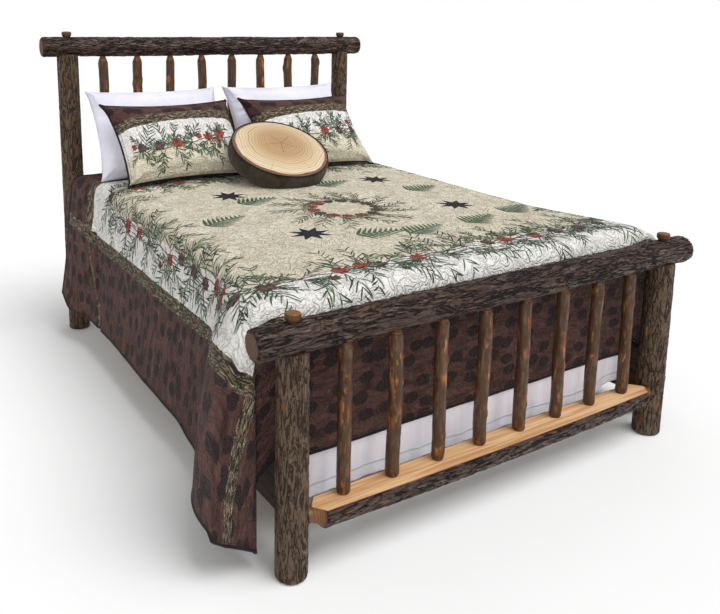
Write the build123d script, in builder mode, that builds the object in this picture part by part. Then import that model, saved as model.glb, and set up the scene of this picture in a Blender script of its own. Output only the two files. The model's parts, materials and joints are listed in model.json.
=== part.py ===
"""Rustic log bed, queen size, made up with its bedding.

Millimetres. X runs across the bed, Y from the foot (-) to the head (+), Z up.
The origin is on the floor under the middle of the bed.

Headboard and footboard are logs with the bark left on: two posts, a round top rail, a lower rail
planed flat on top, and eight spindles, all joined by round tenons in blind mortises. A
mushroom-headed peg is driven down through each end of a top rail into the post's tenon.
Sawn side rails hook on to slotted plates in the posts and carry cleats, slats, a box spring,
a mattress and the bedding.
"""

import math
import os

from build123d import *

os.makedirs("parts", exist_ok=True)

# ---------------------------------------------------------------- driving sizes
joint_gap = 0.15          # radial play of a tenon or peg in its hole
mortise_extra_depth = 1.0 # room for glue past the end of a tenon, peg or screw
log_swell = 1.5           # how far a log's outline wanders from a straight taper
seat_gap = 0.3            # between faces that rest on each other but are curved or soft
hole_extra = 1.0          # a cut runs this far past the surface that it opens

mattress_width = 1524.0
mattress_length = 2032.0
mattress_thickness = 338.0
mattress_edge_radius = 60.0
mattress_corner_radius = 70.0
mattress_side_gap = 10.0
mattress_head_gap = 12.0
mattress_foot_gap = 36.0

box_spring_height = 230.0
box_spring_edge_radius = 18.0

side_rail_thickness = 38.0
side_rail_height = 190.0
side_rail_bottom = 150.0
side_rail_edge_radius = 4.0

cleat_size = 38.0
cleat_lift = 5.0
slat_width = 89.0
slat_thickness = 19.0
slat_count = 5
slat_end_play = 2.0
slat_inset = 190.0
center_leg_diameter = 38.0
glide_height = 8.0
glide_diameter = 48.0

head_height = 1500.0      # floor to the top of the head rail
foot_height = 775.0       # floor to the top of the foot rail
head_left_post_diameter = 104.0
head_right_post_diameter = 96.0
foot_left_post_diameter = 96.0
foot_right_post_diameter = 102.0
post_seat_depth = 36.0    # post axis to the flat that a side rail butts against
post_axis_gap = 50.0      # from the room for the mattress to the posts' axes
post_seat_margin = 1.0    # the flat is this much taller than the rail, above and below
post_foot_chamfer = 6.0
post_top_chamfer = 2.0
post_true_share = 0.35    # share of a post's height that is true at each end, for its joints

head_rail_length = 1870.0
head_rail_diameter = 97.0
foot_rail_length = 1900.0
foot_rail_left_diameter = 93.0
foot_rail_right_diameter = 103.0
rail_end_chamfer = 9.0
saddle_share = 0.72       # height of a post's shoulder under the rail's axis, in rail radii

lower_rail_diameter = 118.0
lower_rail_end_diameter = 98.0
lower_rail_flat_width = 86.0
lower_rail_setback = 14.0     # the lower rail's axis stands this far outside the spindles
foot_lower_flat_height = 205.0
head_lower_flat_height = 620.0
lower_tenon_diameter = 42.0
lower_tenon_depth = 40.0
lower_neck_length = 42.0
lower_neck_shoulder = 6.0
lower_neck_swell = 2.0

spindle_count = 8
spindle_end_room = 176.5     # from a post's axis to the nearest spindle's
head_spindle_diameter = 48.0
foot_spindle_diameter = 44.0
head_spindle_taper = 30.0
foot_spindle_taper = 18.0
spindle_swell = 2.0
spindle_tenon_diameter = 25.0
spindle_tenon_depth = 26.0
spindle_foot_taper = 12.0
spindle_foot_shoulder = 3.0
spindle_tip_lead = 8.0        # the pencilled end is down to its tenon this far below the rail

post_tenon_diameter = 44.0
post_tenon_depth = 52.0
peg_shank_diameter = 19.0
peg_shank_depth = 78.0
peg_neck_diameter = 30.0
peg_head_diameter = 47.0
peg_head_height = 24.0
peg_crown_height = 3.0

plate_width = 24.0
plate_height = 130.0
plate_thickness = 3.0
plate_play = 0.3
hook_width = 5.0
hook_neck_height = 14.0
hook_lip_drop = 10.0
hook_lip_thickness = 4.0
hook_pitch = 56.0
hook_play = 0.4
hook_pocket_width = 9.0
hook_pocket_depth = 9.0
plate_screw_pitch = 108.0
screw_shank_diameter = 4.0
screw_head_diameter = 8.0
screw_head_depth = 2.2
screw_recess = 0.2
screw_play = 0.1
screw_length = 24.0
cleat_screw_count = 6
cleat_screw_length = 62.0
slat_screw_inset = 19.0       # from a slat's end to its screw
slat_screw_length = 44.0

skirt_thickness = 2.0
skirt_gap = 1.0
skirt_hem_height = 150.0
skirt_foot_inset = 40.0       # the foot panel stops this far from each side of the mattress
skirt_slat_lift = 12.0        # the side panels end this far above the slats

quilt_thickness = 16.0
quilt_foot_gap = 4.0
quilt_head_inset = 8.0
quilt_side_hem_height = 135.0
quilt_side_hem_rise = 165.0   # how much higher that hem is at the head end
quilt_side_hem_level = 1150.0 # length of the level part of that hem, from the foot
quilt_foot_hem_height = 300.0
quilt_side_flare = 86.2       # how far the hem of a side drop stands out from its top
flare_top_height = 690.0
flare_hem_height = 80.0
flare_top_radius = 22.0
flare_hem_length = 208.0      # section of the corner flare at its hem, outwards
flare_hem_width = 76.0        # and across
flare_reach = 276.0           # from the mattress side to the outer edge of the flare's hem
flare_top_step = 18.0         # the flare's top stands this far out from the mattress side
flare_rail_gap = 3.0
flare_forward = 4.0           # and the flare's middle this far towards the foot of the mattress

pillow_lean = 28.0            # degrees from upright
white_pillow_width = 700.0
white_pillow_height = 480.0
white_pillow_thickness = 160.0
white_pillow_pitch = 745.0
white_pillow_edge_radius = 60.0
white_pillow_corner_radius = 90.0
sham_width = 655.0
sham_height = 430.0
sham_thickness = 130.0
sham_pitch = 730.0
sham_edge_radius = 45.0
sham_corner_radius = 60.0
pillow_across = -30.0         # middle of the row of pillows, a little to the left
pillow_rest_gap = 0.5
cushion_diameter = 480.0
cushion_thickness = 120.0
cushion_edge_radius = 50.0
cushion_tilt = 26.0           # degrees from level
cushion_across = 8.0

# ---------------------------------------------------------------- places worked out from them
side_rail_inner = mattress_width / 2 + mattress_side_gap
side_rail_outer = side_rail_inner + side_rail_thickness
post_x = side_rail_outer
largest_post_radius = max(head_left_post_diameter, head_right_post_diameter) / 2
inner_length = mattress_length + mattress_head_gap + mattress_foot_gap
post_y = inner_length / 2 + post_axis_gap
rail_end_y = post_y - post_seat_depth
mattress_head_y = inner_length / 2 - mattress_head_gap
mattress_foot_y = mattress_head_y - mattress_length
mattress_middle_y = (mattress_head_y + mattress_foot_y) / 2

cleat_bottom = side_rail_bottom + cleat_lift
slat_bottom = cleat_bottom + cleat_size
slat_top = slat_bottom + slat_thickness
box_spring_top = slat_top + box_spring_height
skirt_top = box_spring_top + skirt_thickness
mattress_top = skirt_top + mattress_thickness
quilt_under = mattress_top + seat_gap
quilt_top = quilt_under + quilt_thickness
bedding_top = quilt_top + pillow_rest_gap

head_rail_z = head_height - head_rail_diameter / 2
foot_rail_z = foot_height - foot_rail_right_diameter / 2
spindle_pitch = 2 * (post_x - spindle_end_room) / (spindle_count - 1)
spindle_places = [(i - (spindle_count - 1) / 2) * spindle_pitch for i in range(spindle_count)]


def write(part, name):
    """Labels a finished piece and writes it as its own STEP file."""
    part.label = name
    export_step(part, f"parts/{name}.step")


def log_plane(origin, along, outward):
    """A sketch plane whose x runs along a log's axis and whose y points outward from it."""
    return Plane(origin=origin, x_dir=along, z_dir=Vector(*along).cross(Vector(*outward)))


def log_outline(length, start_radius, end_radius, straight, start_chamfer, end_chamfer):
    """Half the outline of a log along its axis: true near its joints, gently uneven between them."""
    middle = length / 2
    middle_radius = (start_radius + end_radius) / 2
    Polyline(
        (straight, start_radius),
        (start_chamfer, start_radius),
        (0, start_radius - start_chamfer),
        (0, 0),
        (length, 0),
        (length, end_radius - end_chamfer),
        (length - end_chamfer, end_radius),
        (length - straight, end_radius),
    )
    Spline(
        (straight, start_radius),
        ((straight + middle) / 2, (start_radius + middle_radius) / 2 + log_swell),
        (middle, middle_radius - log_swell / 2),
        ((length - straight + middle) / 2, (middle_radius + end_radius) / 2 + log_swell),
        (length - straight, end_radius),
        tangents=((1, 0), (1, 0)),
    )


# ---------------------------------------------------------------- top rails
def top_rail(name, length, left_radius, right_radius, y, z, spindle_z):
    """A round top rail with mortises for posts and spindles, and a hole for each locking peg."""
    plane = log_plane((-length / 2, y, z), (1, 0, 0), (0, 0, 1))
    straight = length / 2 - post_x + largest_post_radius + rail_end_chamfer
    with BuildPart() as rail:
        with BuildSketch(plane):
            with BuildLine():
                log_outline(length, left_radius, right_radius, straight, rail_end_chamfer, rail_end_chamfer)
            make_face()
        revolve(axis=Axis((0, y, z), (1, 0, 0)))
        for side, radius in ((-1, left_radius), (1, right_radius)):
            with Locations((side * post_x, y, z - radius)):
                Cylinder(
                    post_tenon_diameter / 2 + joint_gap,
                    2 * (post_tenon_depth + mortise_extra_depth),
                    mode=Mode.SUBTRACT,
                )
            with Locations((side * post_x, y, z)):
                Cylinder(
                    peg_shank_diameter / 2 + joint_gap,
                    radius + hole_extra,
                    align=(Align.CENTER, Align.CENTER, Align.MIN),
                    mode=Mode.SUBTRACT,
                )
        for x in spindle_places:
            with Locations((x, y, spindle_z)):
                Cylinder(
                    spindle_tenon_diameter / 2 + joint_gap,
                    2 * (spindle_tenon_depth + mortise_extra_depth),
                    mode=Mode.SUBTRACT,
                )
    write(rail.part, name)


head_spindle_top = head_rail_z - head_rail_diameter / 2
foot_spindle_top = foot_rail_z - foot_rail_left_diameter / 2
top_rail(
    "head_top_rail", head_rail_length, head_rail_diameter / 2, head_rail_diameter / 2,
    post_y, head_rail_z, head_spindle_top,
)
top_rail(
    "foot_top_rail", foot_rail_length, foot_rail_left_diameter / 2, foot_rail_right_diameter / 2,
    -post_y, foot_rail_z, foot_spindle_top,
)

# ---------------------------------------------------------------- lower rails
lower_radius = lower_rail_diameter / 2
lower_end_radius = lower_rail_end_diameter / 2
lower_axis_drop = math.sqrt(lower_end_radius**2 - (lower_rail_flat_width / 2) ** 2)


def lower_rail(name, end, flat_height):
    """A log planed flat on top for the spindles, turned down to a coved tenon at each end."""
    y = end * (post_y + lower_rail_setback)
    z = flat_height - lower_axis_drop
    left_post = foot_left_post_diameter if end < 0 else head_left_post_diameter
    right_post = foot_right_post_diameter if end < 0 else head_right_post_diameter
    start = -post_x + left_post / 2
    stop = post_x - right_post / 2
    body_start = start + lower_neck_length
    body_length = stop - start - 2 * lower_neck_length
    tenon_radius = lower_tenon_diameter / 2
    cove = lower_end_radius - lower_neck_shoulder
    with BuildPart() as rail:
        with BuildSketch(log_plane((body_start, y, z), (1, 0, 0), (0, 0, 1))):
            with BuildLine():
                Polyline((0, lower_end_radius), (0, 0), (body_length, 0), (body_length, lower_end_radius))
                Spline(
                    (0, lower_end_radius),
                    (body_length * 0.25, (lower_radius + lower_end_radius) / 2),
                    (body_length * 0.55, lower_radius),
                    (body_length, lower_end_radius),
                )
            make_face()
        revolve(axis=Axis((0, y, z), (1, 0, 0)))
        for side, face in ((-1, start), (1, stop)):
            tip = face + side * lower_tenon_depth
            shoulder = face - side * lower_neck_length
            with BuildSketch(log_plane((0, y, z), (1, 0, 0), (0, 0, -1))):
                with BuildLine():
                    Polyline((shoulder, 0), (tip, 0), (tip, tenon_radius), (face, tenon_radius))
                    Spline(
                        (face, tenon_radius),
                        ((face + shoulder) / 2 + side * 2 * lower_neck_swell, tenon_radius + lower_neck_swell),
                        (shoulder, cove),
                        tangents=((-side, 0), (-side * 0.35, 1)),
                    )
                    Line((shoulder, cove), (shoulder, 0))
                make_face()
            revolve(axis=Axis((0, y, z), (1, 0, 0)))
        with Locations((0, y, flat_height)):
            Box(
                2 * post_x, 2 * lower_rail_diameter, lower_rail_diameter,
                align=(Align.CENTER, Align.CENTER, Align.MIN),
                mode=Mode.SUBTRACT,
            )
        for x in spindle_places:
            with Locations((x, end * post_y, flat_height)):
                Cylinder(
                    spindle_tenon_diameter / 2 + joint_gap,
                    2 * (spindle_tenon_depth + mortise_extra_depth),
                    mode=Mode.SUBTRACT,
                )
    write(rail.part, name)


lower_rail("foot_lower_rail", -1, foot_lower_flat_height)
lower_rail("head_lower_rail", 1, head_lower_flat_height)


# ---------------------------------------------------------------- posts
hook_middle_z = side_rail_bottom + side_rail_height / 2
hook_pocket_height = hook_pitch + hook_neck_height + 2 * (hook_lip_drop + hook_play)
hook_heights = (hook_middle_z - hook_pitch / 2, hook_middle_z + hook_pitch / 2)
screw_heights = (hook_middle_z - plate_screw_pitch / 2, hook_middle_z + plate_screw_pitch / 2)
plate_x = (side_rail_inner + side_rail_outer) / 2


def post(name, side, end, diameter, rail_z, rail_radius, flat_height):
    """A log post: tenon and saddle on top, a mortise for the lower rail, a seat for the side rail."""
    x, y = side * post_x, end * post_y
    radius = diameter / 2
    shoulder = rail_z - saddle_share * rail_radius
    inward = -end
    seat_y = y + inward * post_seat_depth
    lower_y = end * (post_y + lower_rail_setback)
    lower_z = flat_height - lower_axis_drop
    lower_x = side * (post_x - radius)
    with BuildPart() as log:
        with BuildSketch(log_plane((x, y, 0), (0, 0, 1), (1, 0, 0))):
            with BuildLine():
                log_outline(shoulder, radius, radius, shoulder * post_true_share, post_foot_chamfer, post_top_chamfer)
            make_face()
        revolve(axis=Axis((x, y, 0), (0, 0, 1)))
        with Locations(Plane((x, y, rail_z), x_dir=(0, 1, 0), z_dir=(1, 0, 0))):
            Cylinder(rail_radius + seat_gap, 2 * diameter, mode=Mode.SUBTRACT)
        with Locations((x, y, rail_z - rail_radius - seat_gap - radius)):
            Cylinder(
                post_tenon_diameter / 2,
                post_tenon_depth + seat_gap + radius,
                align=(Align.CENTER, Align.CENTER, Align.MIN),
            )
        with Locations((x, y, rail_z + rail_radius - peg_shank_depth - mortise_extra_depth)):
            Cylinder(
                peg_shank_diameter / 2 + joint_gap,
                2 * peg_shank_depth,
                align=(Align.CENTER, Align.CENTER, Align.MIN),
                mode=Mode.SUBTRACT,
            )
        with Locations((x, seat_y, hook_middle_z)):
            Box(
                diameter, 2 * (radius - post_seat_depth), side_rail_height + 2 * post_seat_margin,
                align=(Align.CENTER, Align.MIN if inward > 0 else Align.MAX, Align.CENTER),
                mode=Mode.SUBTRACT,
            )
        plate_side = Align.MAX if inward > 0 else Align.MIN
        with Locations((side * plate_x, seat_y, hook_middle_z)):
            Box(
                plate_width + 2 * plate_play, plate_thickness, plate_height + 2 * plate_play,
                align=(Align.CENTER, plate_side, Align.CENTER),
                mode=Mode.SUBTRACT,
            )
            Box(
                hook_pocket_width, plate_thickness + hook_pocket_depth, hook_pocket_height,
                align=(Align.CENTER, plate_side, Align.CENTER),
                mode=Mode.SUBTRACT,
            )
        with Locations(*[(side * plate_x, seat_y, z) for z in screw_heights]):
            Cylinder(
                screw_shank_diameter / 2 + screw_play,
                2 * (screw_length + mortise_extra_depth),
                rotation=(90, 0, 0),
                mode=Mode.SUBTRACT,
            )
        with Locations((lower_x, lower_y, lower_z)):
            Cylinder(
                lower_tenon_diameter / 2 + joint_gap,
                2 * (lower_tenon_depth + mortise_extra_depth),
                rotation=(0, 90, 0),
                mode=Mode.SUBTRACT,
            )
    write(log.part, name)


for name, side, end, diameter, rail_z, rail_diameter, flat_height in (
    ("head_post_left", -1, 1, head_left_post_diameter, head_rail_z, head_rail_diameter, head_lower_flat_height),
    ("head_post_right", 1, 1, head_right_post_diameter, head_rail_z, head_rail_diameter, head_lower_flat_height),
    ("foot_post_left", -1, -1, foot_left_post_diameter, foot_rail_z, foot_rail_left_diameter, foot_lower_flat_height),
    ("foot_post_right", 1, -1, foot_right_post_diameter, foot_rail_z, foot_rail_right_diameter, foot_lower_flat_height),
):
    post(name, side, end, diameter, rail_z, rail_diameter / 2, flat_height)


# ---------------------------------------------------------------- spindles
def spindle(name, x, y, bottom, top, diameter, top_taper):
    """A hickory stick, swelled a little, pencilled at its ends down to round tenons."""
    radius = diameter / 2
    tenon = spindle_tenon_diameter / 2
    length = top - bottom
    with BuildPart() as stick:
        with BuildSketch(log_plane((x, y, bottom), (0, 0, 1), (1, 0, 0))):
            with BuildLine():
                Polyline(
                    (spindle_foot_taper, radius),
                    (0, tenon + spindle_foot_shoulder),
                    (0, tenon),
                    (-spindle_tenon_depth, tenon),
                    (-spindle_tenon_depth, 0),
                    (length + spindle_tenon_depth, 0),
                    (length + spindle_tenon_depth, tenon),
                    (length - spindle_tip_lead, tenon),
                    (length - spindle_tip_lead - top_taper, radius),
                )
                Spline(
                    (spindle_foot_taper, radius),
                    (length * 0.3, radius + spindle_swell),
                    (length * 0.62, radius - spindle_swell / 2),
                    (length - spindle_tip_lead - top_taper, radius),
                )
            make_face()
        revolve(axis=Axis((x, y, 0), (0, 0, 1)))
    write(stick.part, name)


for number, x in enumerate(spindle_places, 1):
    spindle(
        f"head_spindle_{number}", x, post_y, head_lower_flat_height, head_spindle_top,
        head_spindle_diameter, head_spindle_taper,
    )
    spindle(
        f"foot_spindle_{number}", x, -post_y, foot_lower_flat_height, foot_spindle_top,
        foot_spindle_diameter, foot_spindle_taper,
    )


# ---------------------------------------------------------------- locking pegs
def peg(name, x, y, rail_top):
    """A tapered peg with a flared head that stands on top of the rail and a shank that locks the tenon."""
    with BuildPart() as turned:
        with BuildSketch(log_plane((x, y, rail_top), (0, 0, 1), (1, 0, 0))):
            with BuildLine():
                shank = peg_shank_diameter / 2
                neck = peg_neck_diameter / 2
                head = peg_head_diameter / 2
                Polyline(
                    (peg_head_height, head),
                    (seat_gap, neck),
                    (seat_gap, shank),
                    (-peg_shank_depth, shank),
                    (-peg_shank_depth, 0),
                    (peg_head_height + peg_crown_height, 0),
                )
                ThreePointArc(
                    (peg_head_height + peg_crown_height, 0),
                    (peg_head_height + peg_crown_height * 0.8, head * 0.5),
                    (peg_head_height, head),
                )
            make_face()
        revolve(axis=Axis((x, y, 0), (0, 0, 1)))
    write(turned.part, name)


peg("head_peg_left", -post_x, post_y, head_rail_z + head_rail_diameter / 2)
peg("head_peg_right", post_x, post_y, head_rail_z + head_rail_diameter / 2)
peg("foot_peg_left", -post_x, -post_y, foot_rail_z + foot_rail_left_diameter / 2)
peg("foot_peg_right", post_x, -post_y, foot_rail_z + foot_rail_right_diameter / 2)

# ---------------------------------------------------------------- side rails and their fittings
corners = [(side, end) for side in (-1, 1) for end in (-1, 1)]


def screw_spots(outward):
    """A plane on each plate screw's head, with z out of the plate's face. outward: 1 towards the post."""
    return [
        Plane((side * plate_x, end * rail_end_y, z), x_dir=(1, 0, 0), z_dir=(0, outward * end, 0))
        for side, end in corners
        for z in screw_heights
    ]


def screw(plane, length, play=0.0):
    """A countersunk screw, its head a little under the plane's face, or with play, the hole for one."""
    head = screw_head_diameter / 2 + play
    shank = screw_shank_diameter / 2 + play
    cone = screw_recess + screw_head_depth
    tip = length + (mortise_extra_depth if play else 0)
    with BuildPart(mode=Mode.PRIVATE) as turned:
        with BuildSketch(Plane(plane.origin, x_dir=plane.x_dir, z_dir=-plane.y_dir)):
            with BuildLine():
                Polyline((0, -screw_recess), (head, -screw_recess), (shank, -cone), (shank, -tip), (0, -tip), close=True)
            make_face()
        revolve(axis=Axis(plane.origin, plane.z_dir))
        if play:
            with Locations(plane):
                Cylinder(head, 2 * screw_recess)
    return turned.part


# Each plate lies flush in its pocket. The post's plate is slotted, and the rail's plate has two hooks.
slot_height = hook_neck_height + hook_lip_drop + hook_play
with BuildPart() as post_plates:
    for side, end in corners:
        with Locations((side * plate_x, end * rail_end_y, hook_middle_z)):
            Box(
                plate_width, plate_thickness, plate_height,
                align=(Align.CENTER, Align.MIN if end > 0 else Align.MAX, Align.CENTER),
            )
        for z in hook_heights:
            with Locations((side * plate_x, end * rail_end_y, z - hook_neck_height / 2 - hook_play / 2)):
                Box(
                    hook_width + 2 * hook_play, 4 * plate_thickness, slot_height,
                    align=(Align.CENTER, Align.CENTER, Align.MIN),
                    mode=Mode.SUBTRACT,
                )
    for spot in screw_spots(-1):
        add(screw(spot, screw_length, screw_play), mode=Mode.SUBTRACT)
write(post_plates.part, "post_slot_plates")

with BuildPart() as rail_plates:
    for side, end in corners:
        face = end * rail_end_y
        outward = Align.MIN if end > 0 else Align.MAX
        with Locations((side * plate_x, face, hook_middle_z)):
            Box(
                plate_width, plate_thickness, plate_height,
                align=(Align.CENTER, Align.MAX if end > 0 else Align.MIN, Align.CENTER),
            )
        for z in hook_heights:
            with Locations((side * plate_x, face, z)):
                Box(
                    hook_width, plate_thickness + hook_play + hook_lip_thickness, hook_neck_height,
                    align=(Align.CENTER, outward, Align.CENTER),
                )
            with Locations((side * plate_x, face + end * (plate_thickness + hook_play), z - hook_neck_height / 2)):
                Box(
                    hook_width, hook_lip_thickness, hook_lip_drop,
                    align=(Align.CENTER, outward, Align.MAX),
                )
    for spot in screw_spots(1):
        add(screw(spot, screw_length, screw_play), mode=Mode.SUBTRACT)
write(rail_plates.part, "rail_hook_plates")

with BuildPart() as bracket_screws:
    for outward in (-1, 1):
        for spot in screw_spots(outward):
            add(screw(spot, screw_length))
write(bracket_screws.part, "bracket_screws")

# ---------------------------------------------------------------- slats and their supports
slat_run = 2 * (rail_end_y - slat_inset) - slat_width
slat_places = [-slat_run / 2 + i * slat_run / (slat_count - 1) for i in range(slat_count)]
slat_length = 2 * (side_rail_inner - slat_end_play)
slat_screw_x = slat_length / 2 - slat_screw_inset
slat_planes = [
    Plane((side * slat_screw_x, y, slat_top), x_dir=(1, 0, 0), z_dir=(0, 0, 1))
    for side in (-1, 1)
    for y in slat_places
]
leg_places = [slat_places[i] for i in range(1, slat_count - 1)]
leg_planes = [Plane((0, y, slat_top), x_dir=(1, 0, 0), z_dir=(0, 0, 1)) for y in leg_places]

cleat_screw_pitch = 2 * (rail_end_y - slat_inset) / cleat_screw_count
cleat_planes = {
    side: [
        Plane(
            (side * (side_rail_inner - cleat_size), (i + 0.5 - cleat_screw_count / 2) * cleat_screw_pitch,
             cleat_bottom + cleat_size / 2),
            x_dir=(0, 1, 0), z_dir=(-side, 0, 0),
        )
        for i in range(cleat_screw_count)
    ]
    for side in (-1, 1)
}

for side, name in ((-1, "left"), (1, "right")):
    with BuildPart() as side_rail:
        with Locations((side * plate_x, 0, hook_middle_z)):
            Box(side_rail_thickness, 2 * rail_end_y, side_rail_height)
        fillet(side_rail.edges().filter_by(Axis.Y), side_rail_edge_radius)
        for end in (-1, 1):
            with Locations((side * plate_x, end * rail_end_y, hook_middle_z)):
                Box(
                    plate_width + 2 * plate_play, plate_thickness, plate_height + 2 * plate_play,
                    align=(Align.CENTER, Align.MAX if end > 0 else Align.MIN, Align.CENTER),
                    mode=Mode.SUBTRACT,
                )
            with Locations(*[(side * plate_x, end * rail_end_y, z) for z in screw_heights]):
                Cylinder(
                    screw_shank_diameter / 2 + screw_play,
                    2 * (screw_length + mortise_extra_depth),
                    rotation=(90, 0, 0),
                    mode=Mode.SUBTRACT,
                )
        for spot in cleat_planes[side]:
            add(screw(spot, cleat_screw_length, screw_play), mode=Mode.SUBTRACT)
    write(side_rail.part, f"side_rail_{name}")

    with BuildPart() as cleat:
        with Locations((side * side_rail_inner, 0, cleat_bottom)):
            Box(
                cleat_size, 2 * (rail_end_y - slat_inset), cleat_size,
                align=(Align.MIN if side < 0 else Align.MAX, Align.CENTER, Align.MIN),
            )
        for spot in cleat_planes[side]:
            add(screw(spot, cleat_screw_length, screw_play), mode=Mode.SUBTRACT)
        for spot in slat_planes:
            add(screw(spot, slat_screw_length, screw_play), mode=Mode.SUBTRACT)
    write(cleat.part, f"side_cleat_{name}")

for number, y in enumerate(slat_places, 1):
    with BuildPart() as slat:
        with Locations((0, y, slat_bottom)):
            Box(slat_length, slat_width, slat_thickness, align=(Align.CENTER, Align.CENTER, Align.MIN))
        for spot in slat_planes + leg_planes:
            if spot.origin.Y == y:
                add(screw(spot, slat_screw_length, screw_play), mode=Mode.SUBTRACT)
    write(slat.part, f"slat_{number}")

with BuildPart() as platform_screws:
    for spot in cleat_planes[-1] + cleat_planes[1]:
        add(screw(spot, cleat_screw_length))
    for spot in slat_planes + leg_planes:
        add(screw(spot, slat_screw_length))
write(platform_screws.part, "platform_screws")

with BuildPart() as legs:
    for y in leg_places:
        with Locations((0, y, glide_height)):
            Cylinder(
                center_leg_diameter / 2, slat_bottom - glide_height,
                align=(Align.CENTER, Align.CENTER, Align.MIN),
            )
    for spot in leg_planes:
        add(screw(spot, slat_screw_length, screw_play), mode=Mode.SUBTRACT)
write(legs.part, "support_legs")

with BuildPart() as glides:
    with Locations(*[(0, y, 0) for y in leg_places]):
        Cylinder(glide_diameter / 2, glide_height, align=(Align.CENTER, Align.CENTER, Align.MIN))
write(glides.part, "leg_glides")


# ---------------------------------------------------------------- box spring, mattress and skirt
def bedding_block(name, bottom, height, corner_radius, edge_radius):
    """A soft block of the mattress's plan, with rounded corners and edges."""
    with BuildPart() as block:
        with BuildSketch(Plane.XY.offset(bottom)):
            with Locations((0, mattress_middle_y)):
                RectangleRounded(mattress_width, mattress_length, corner_radius)
        extrude(amount=height)
        fillet(block.faces().sort_by(Axis.Z)[-1].edges(), edge_radius)
        fillet(block.faces().sort_by(Axis.Z)[0].edges(), edge_radius / 2)
    write(block.part, name)


bedding_block("box_spring", slat_top, box_spring_height, mattress_corner_radius, box_spring_edge_radius)
bedding_block("mattress", skirt_top, mattress_thickness, mattress_corner_radius, mattress_edge_radius)

# The deck lies under the mattress, and the panels are sewn to its edges.
with BuildPart() as skirt_deck:
    with Locations((0, mattress_head_y, box_spring_top)):
        Box(
            mattress_width + 2 * skirt_gap, mattress_length + skirt_gap, skirt_thickness,
            align=(Align.CENTER, Align.MAX, Align.MIN),
        )
write(skirt_deck.part, "skirt_deck")

skirt_side_hem = slat_top + skirt_slat_lift
for side, name in ((-1, "left"), (1, "right")):
    with BuildPart() as skirt_side:
        with Locations((side * (mattress_width / 2 + skirt_gap), mattress_middle_y, skirt_side_hem)):
            Box(
                skirt_thickness, mattress_length, skirt_top - skirt_side_hem,
                align=(Align.MIN if side > 0 else Align.MAX, Align.CENTER, Align.MIN),
            )
    write(skirt_side.part, f"skirt_{name}")

with BuildPart() as skirt_foot:
    with Locations((0, mattress_foot_y - skirt_gap, skirt_hem_height)):
        Box(
            mattress_width - 2 * skirt_foot_inset, skirt_thickness, skirt_top - skirt_hem_height,
            align=(Align.CENTER, Align.MAX, Align.MIN),
        )
write(skirt_foot.part, "skirt_foot")

# ---------------------------------------------------------------- quilt
quilt_inner_x = mattress_width / 2 + seat_gap
quilt_outer_x = quilt_inner_x + quilt_thickness
quilt_inner_foot = mattress_foot_y - quilt_foot_gap
quilt_outer_foot = quilt_inner_foot - quilt_thickness
quilt_head_y = mattress_head_y - quilt_head_inset

with BuildPart() as quilt_top_panel:
    with Locations((0, quilt_inner_foot, quilt_under)):
        Box(
            2 * quilt_inner_x, quilt_head_y - quilt_inner_foot, quilt_thickness,
            align=(Align.CENTER, Align.MIN, Align.MIN),
        )
write(quilt_top_panel.part, "quilt_top")

with BuildPart() as quilt_foot:
    with Locations((0, quilt_outer_foot, quilt_foot_hem_height)):
        Box(
            2 * quilt_inner_x, quilt_thickness, quilt_top - quilt_foot_hem_height,
            align=(Align.CENTER, Align.MIN, Align.MIN),
        )
write(quilt_foot.part, "quilt_foot_drop")

for side, name in ((-1, "left"), (1, "right")):
    with BuildPart() as quilt_side:
        with BuildSketch(Plane((0, quilt_outer_foot, 0), x_dir=(1, 0, 0), z_dir=(0, -1, 0))):
            with BuildLine():
                Polyline(
                    (side * quilt_inner_x, quilt_top),
                    (side * quilt_outer_x, quilt_top),
                    (side * (quilt_outer_x + quilt_side_flare), quilt_side_hem_height),
                    (side * (quilt_inner_x + quilt_side_flare), quilt_side_hem_height),
                    (side * quilt_inner_x, quilt_top - quilt_thickness),
                    close=True,
                )
            make_face()
        extrude(amount=-(quilt_head_y - quilt_outer_foot))
        with BuildSketch(Plane.YZ):
            with BuildLine():
                Polyline(
                    (quilt_outer_foot + quilt_side_hem_level, quilt_side_hem_height),
                    (quilt_head_y + hole_extra, quilt_side_hem_height + quilt_side_hem_rise),
                    (quilt_head_y + hole_extra, 0),
                    (quilt_outer_foot + quilt_side_hem_level, 0),
                    close=True,
                )
            make_face()
        extrude(amount=2 * quilt_outer_x, both=True, mode=Mode.SUBTRACT)
    write(quilt_side.part, f"quilt_{name}_drop")

    # The spare cloth at the foot corner hangs in a cone outside the post.
    flare_x = mattress_width / 2 + flare_reach - flare_hem_length / 2
    flare_top_x = mattress_width / 2 + flare_top_step
    with BuildPart() as flare:
        with BuildSketch(Plane((side * flare_x, mattress_foot_y - flare_forward, flare_hem_height))):
            Ellipse(flare_hem_length / 2, flare_hem_width / 2)
        with BuildSketch(Plane((side * flare_top_x, mattress_foot_y - flare_forward, flare_top_height))):
            Circle(flare_top_radius)
        loft()
        add(quilt_side.part, mode=Mode.SUBTRACT)
        add(quilt_foot.part, mode=Mode.SUBTRACT)
        with Locations((0, mattress_foot_y, side_rail_bottom)):
            Box(
                2 * (side_rail_outer + flare_rail_gap), flare_hem_width * 2, side_rail_height + flare_rail_gap,
                align=(Align.CENTER, Align.CENTER, Align.MIN),
                mode=Mode.SUBTRACT,
            )
    write(flare.part, f"quilt_{name}_corner")

# ---------------------------------------------------------------- pillows
# All four pillows lean back by the same angle. Their places are worked out in the YZ plane from
# what they rest on: the quilt, and then the head spindles or the pillow behind.
lean = math.radians(pillow_lean)
tilt = math.radians(cushion_tilt)
spindle_face_y = post_y - head_spindle_diameter / 2 - spindle_swell


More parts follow.
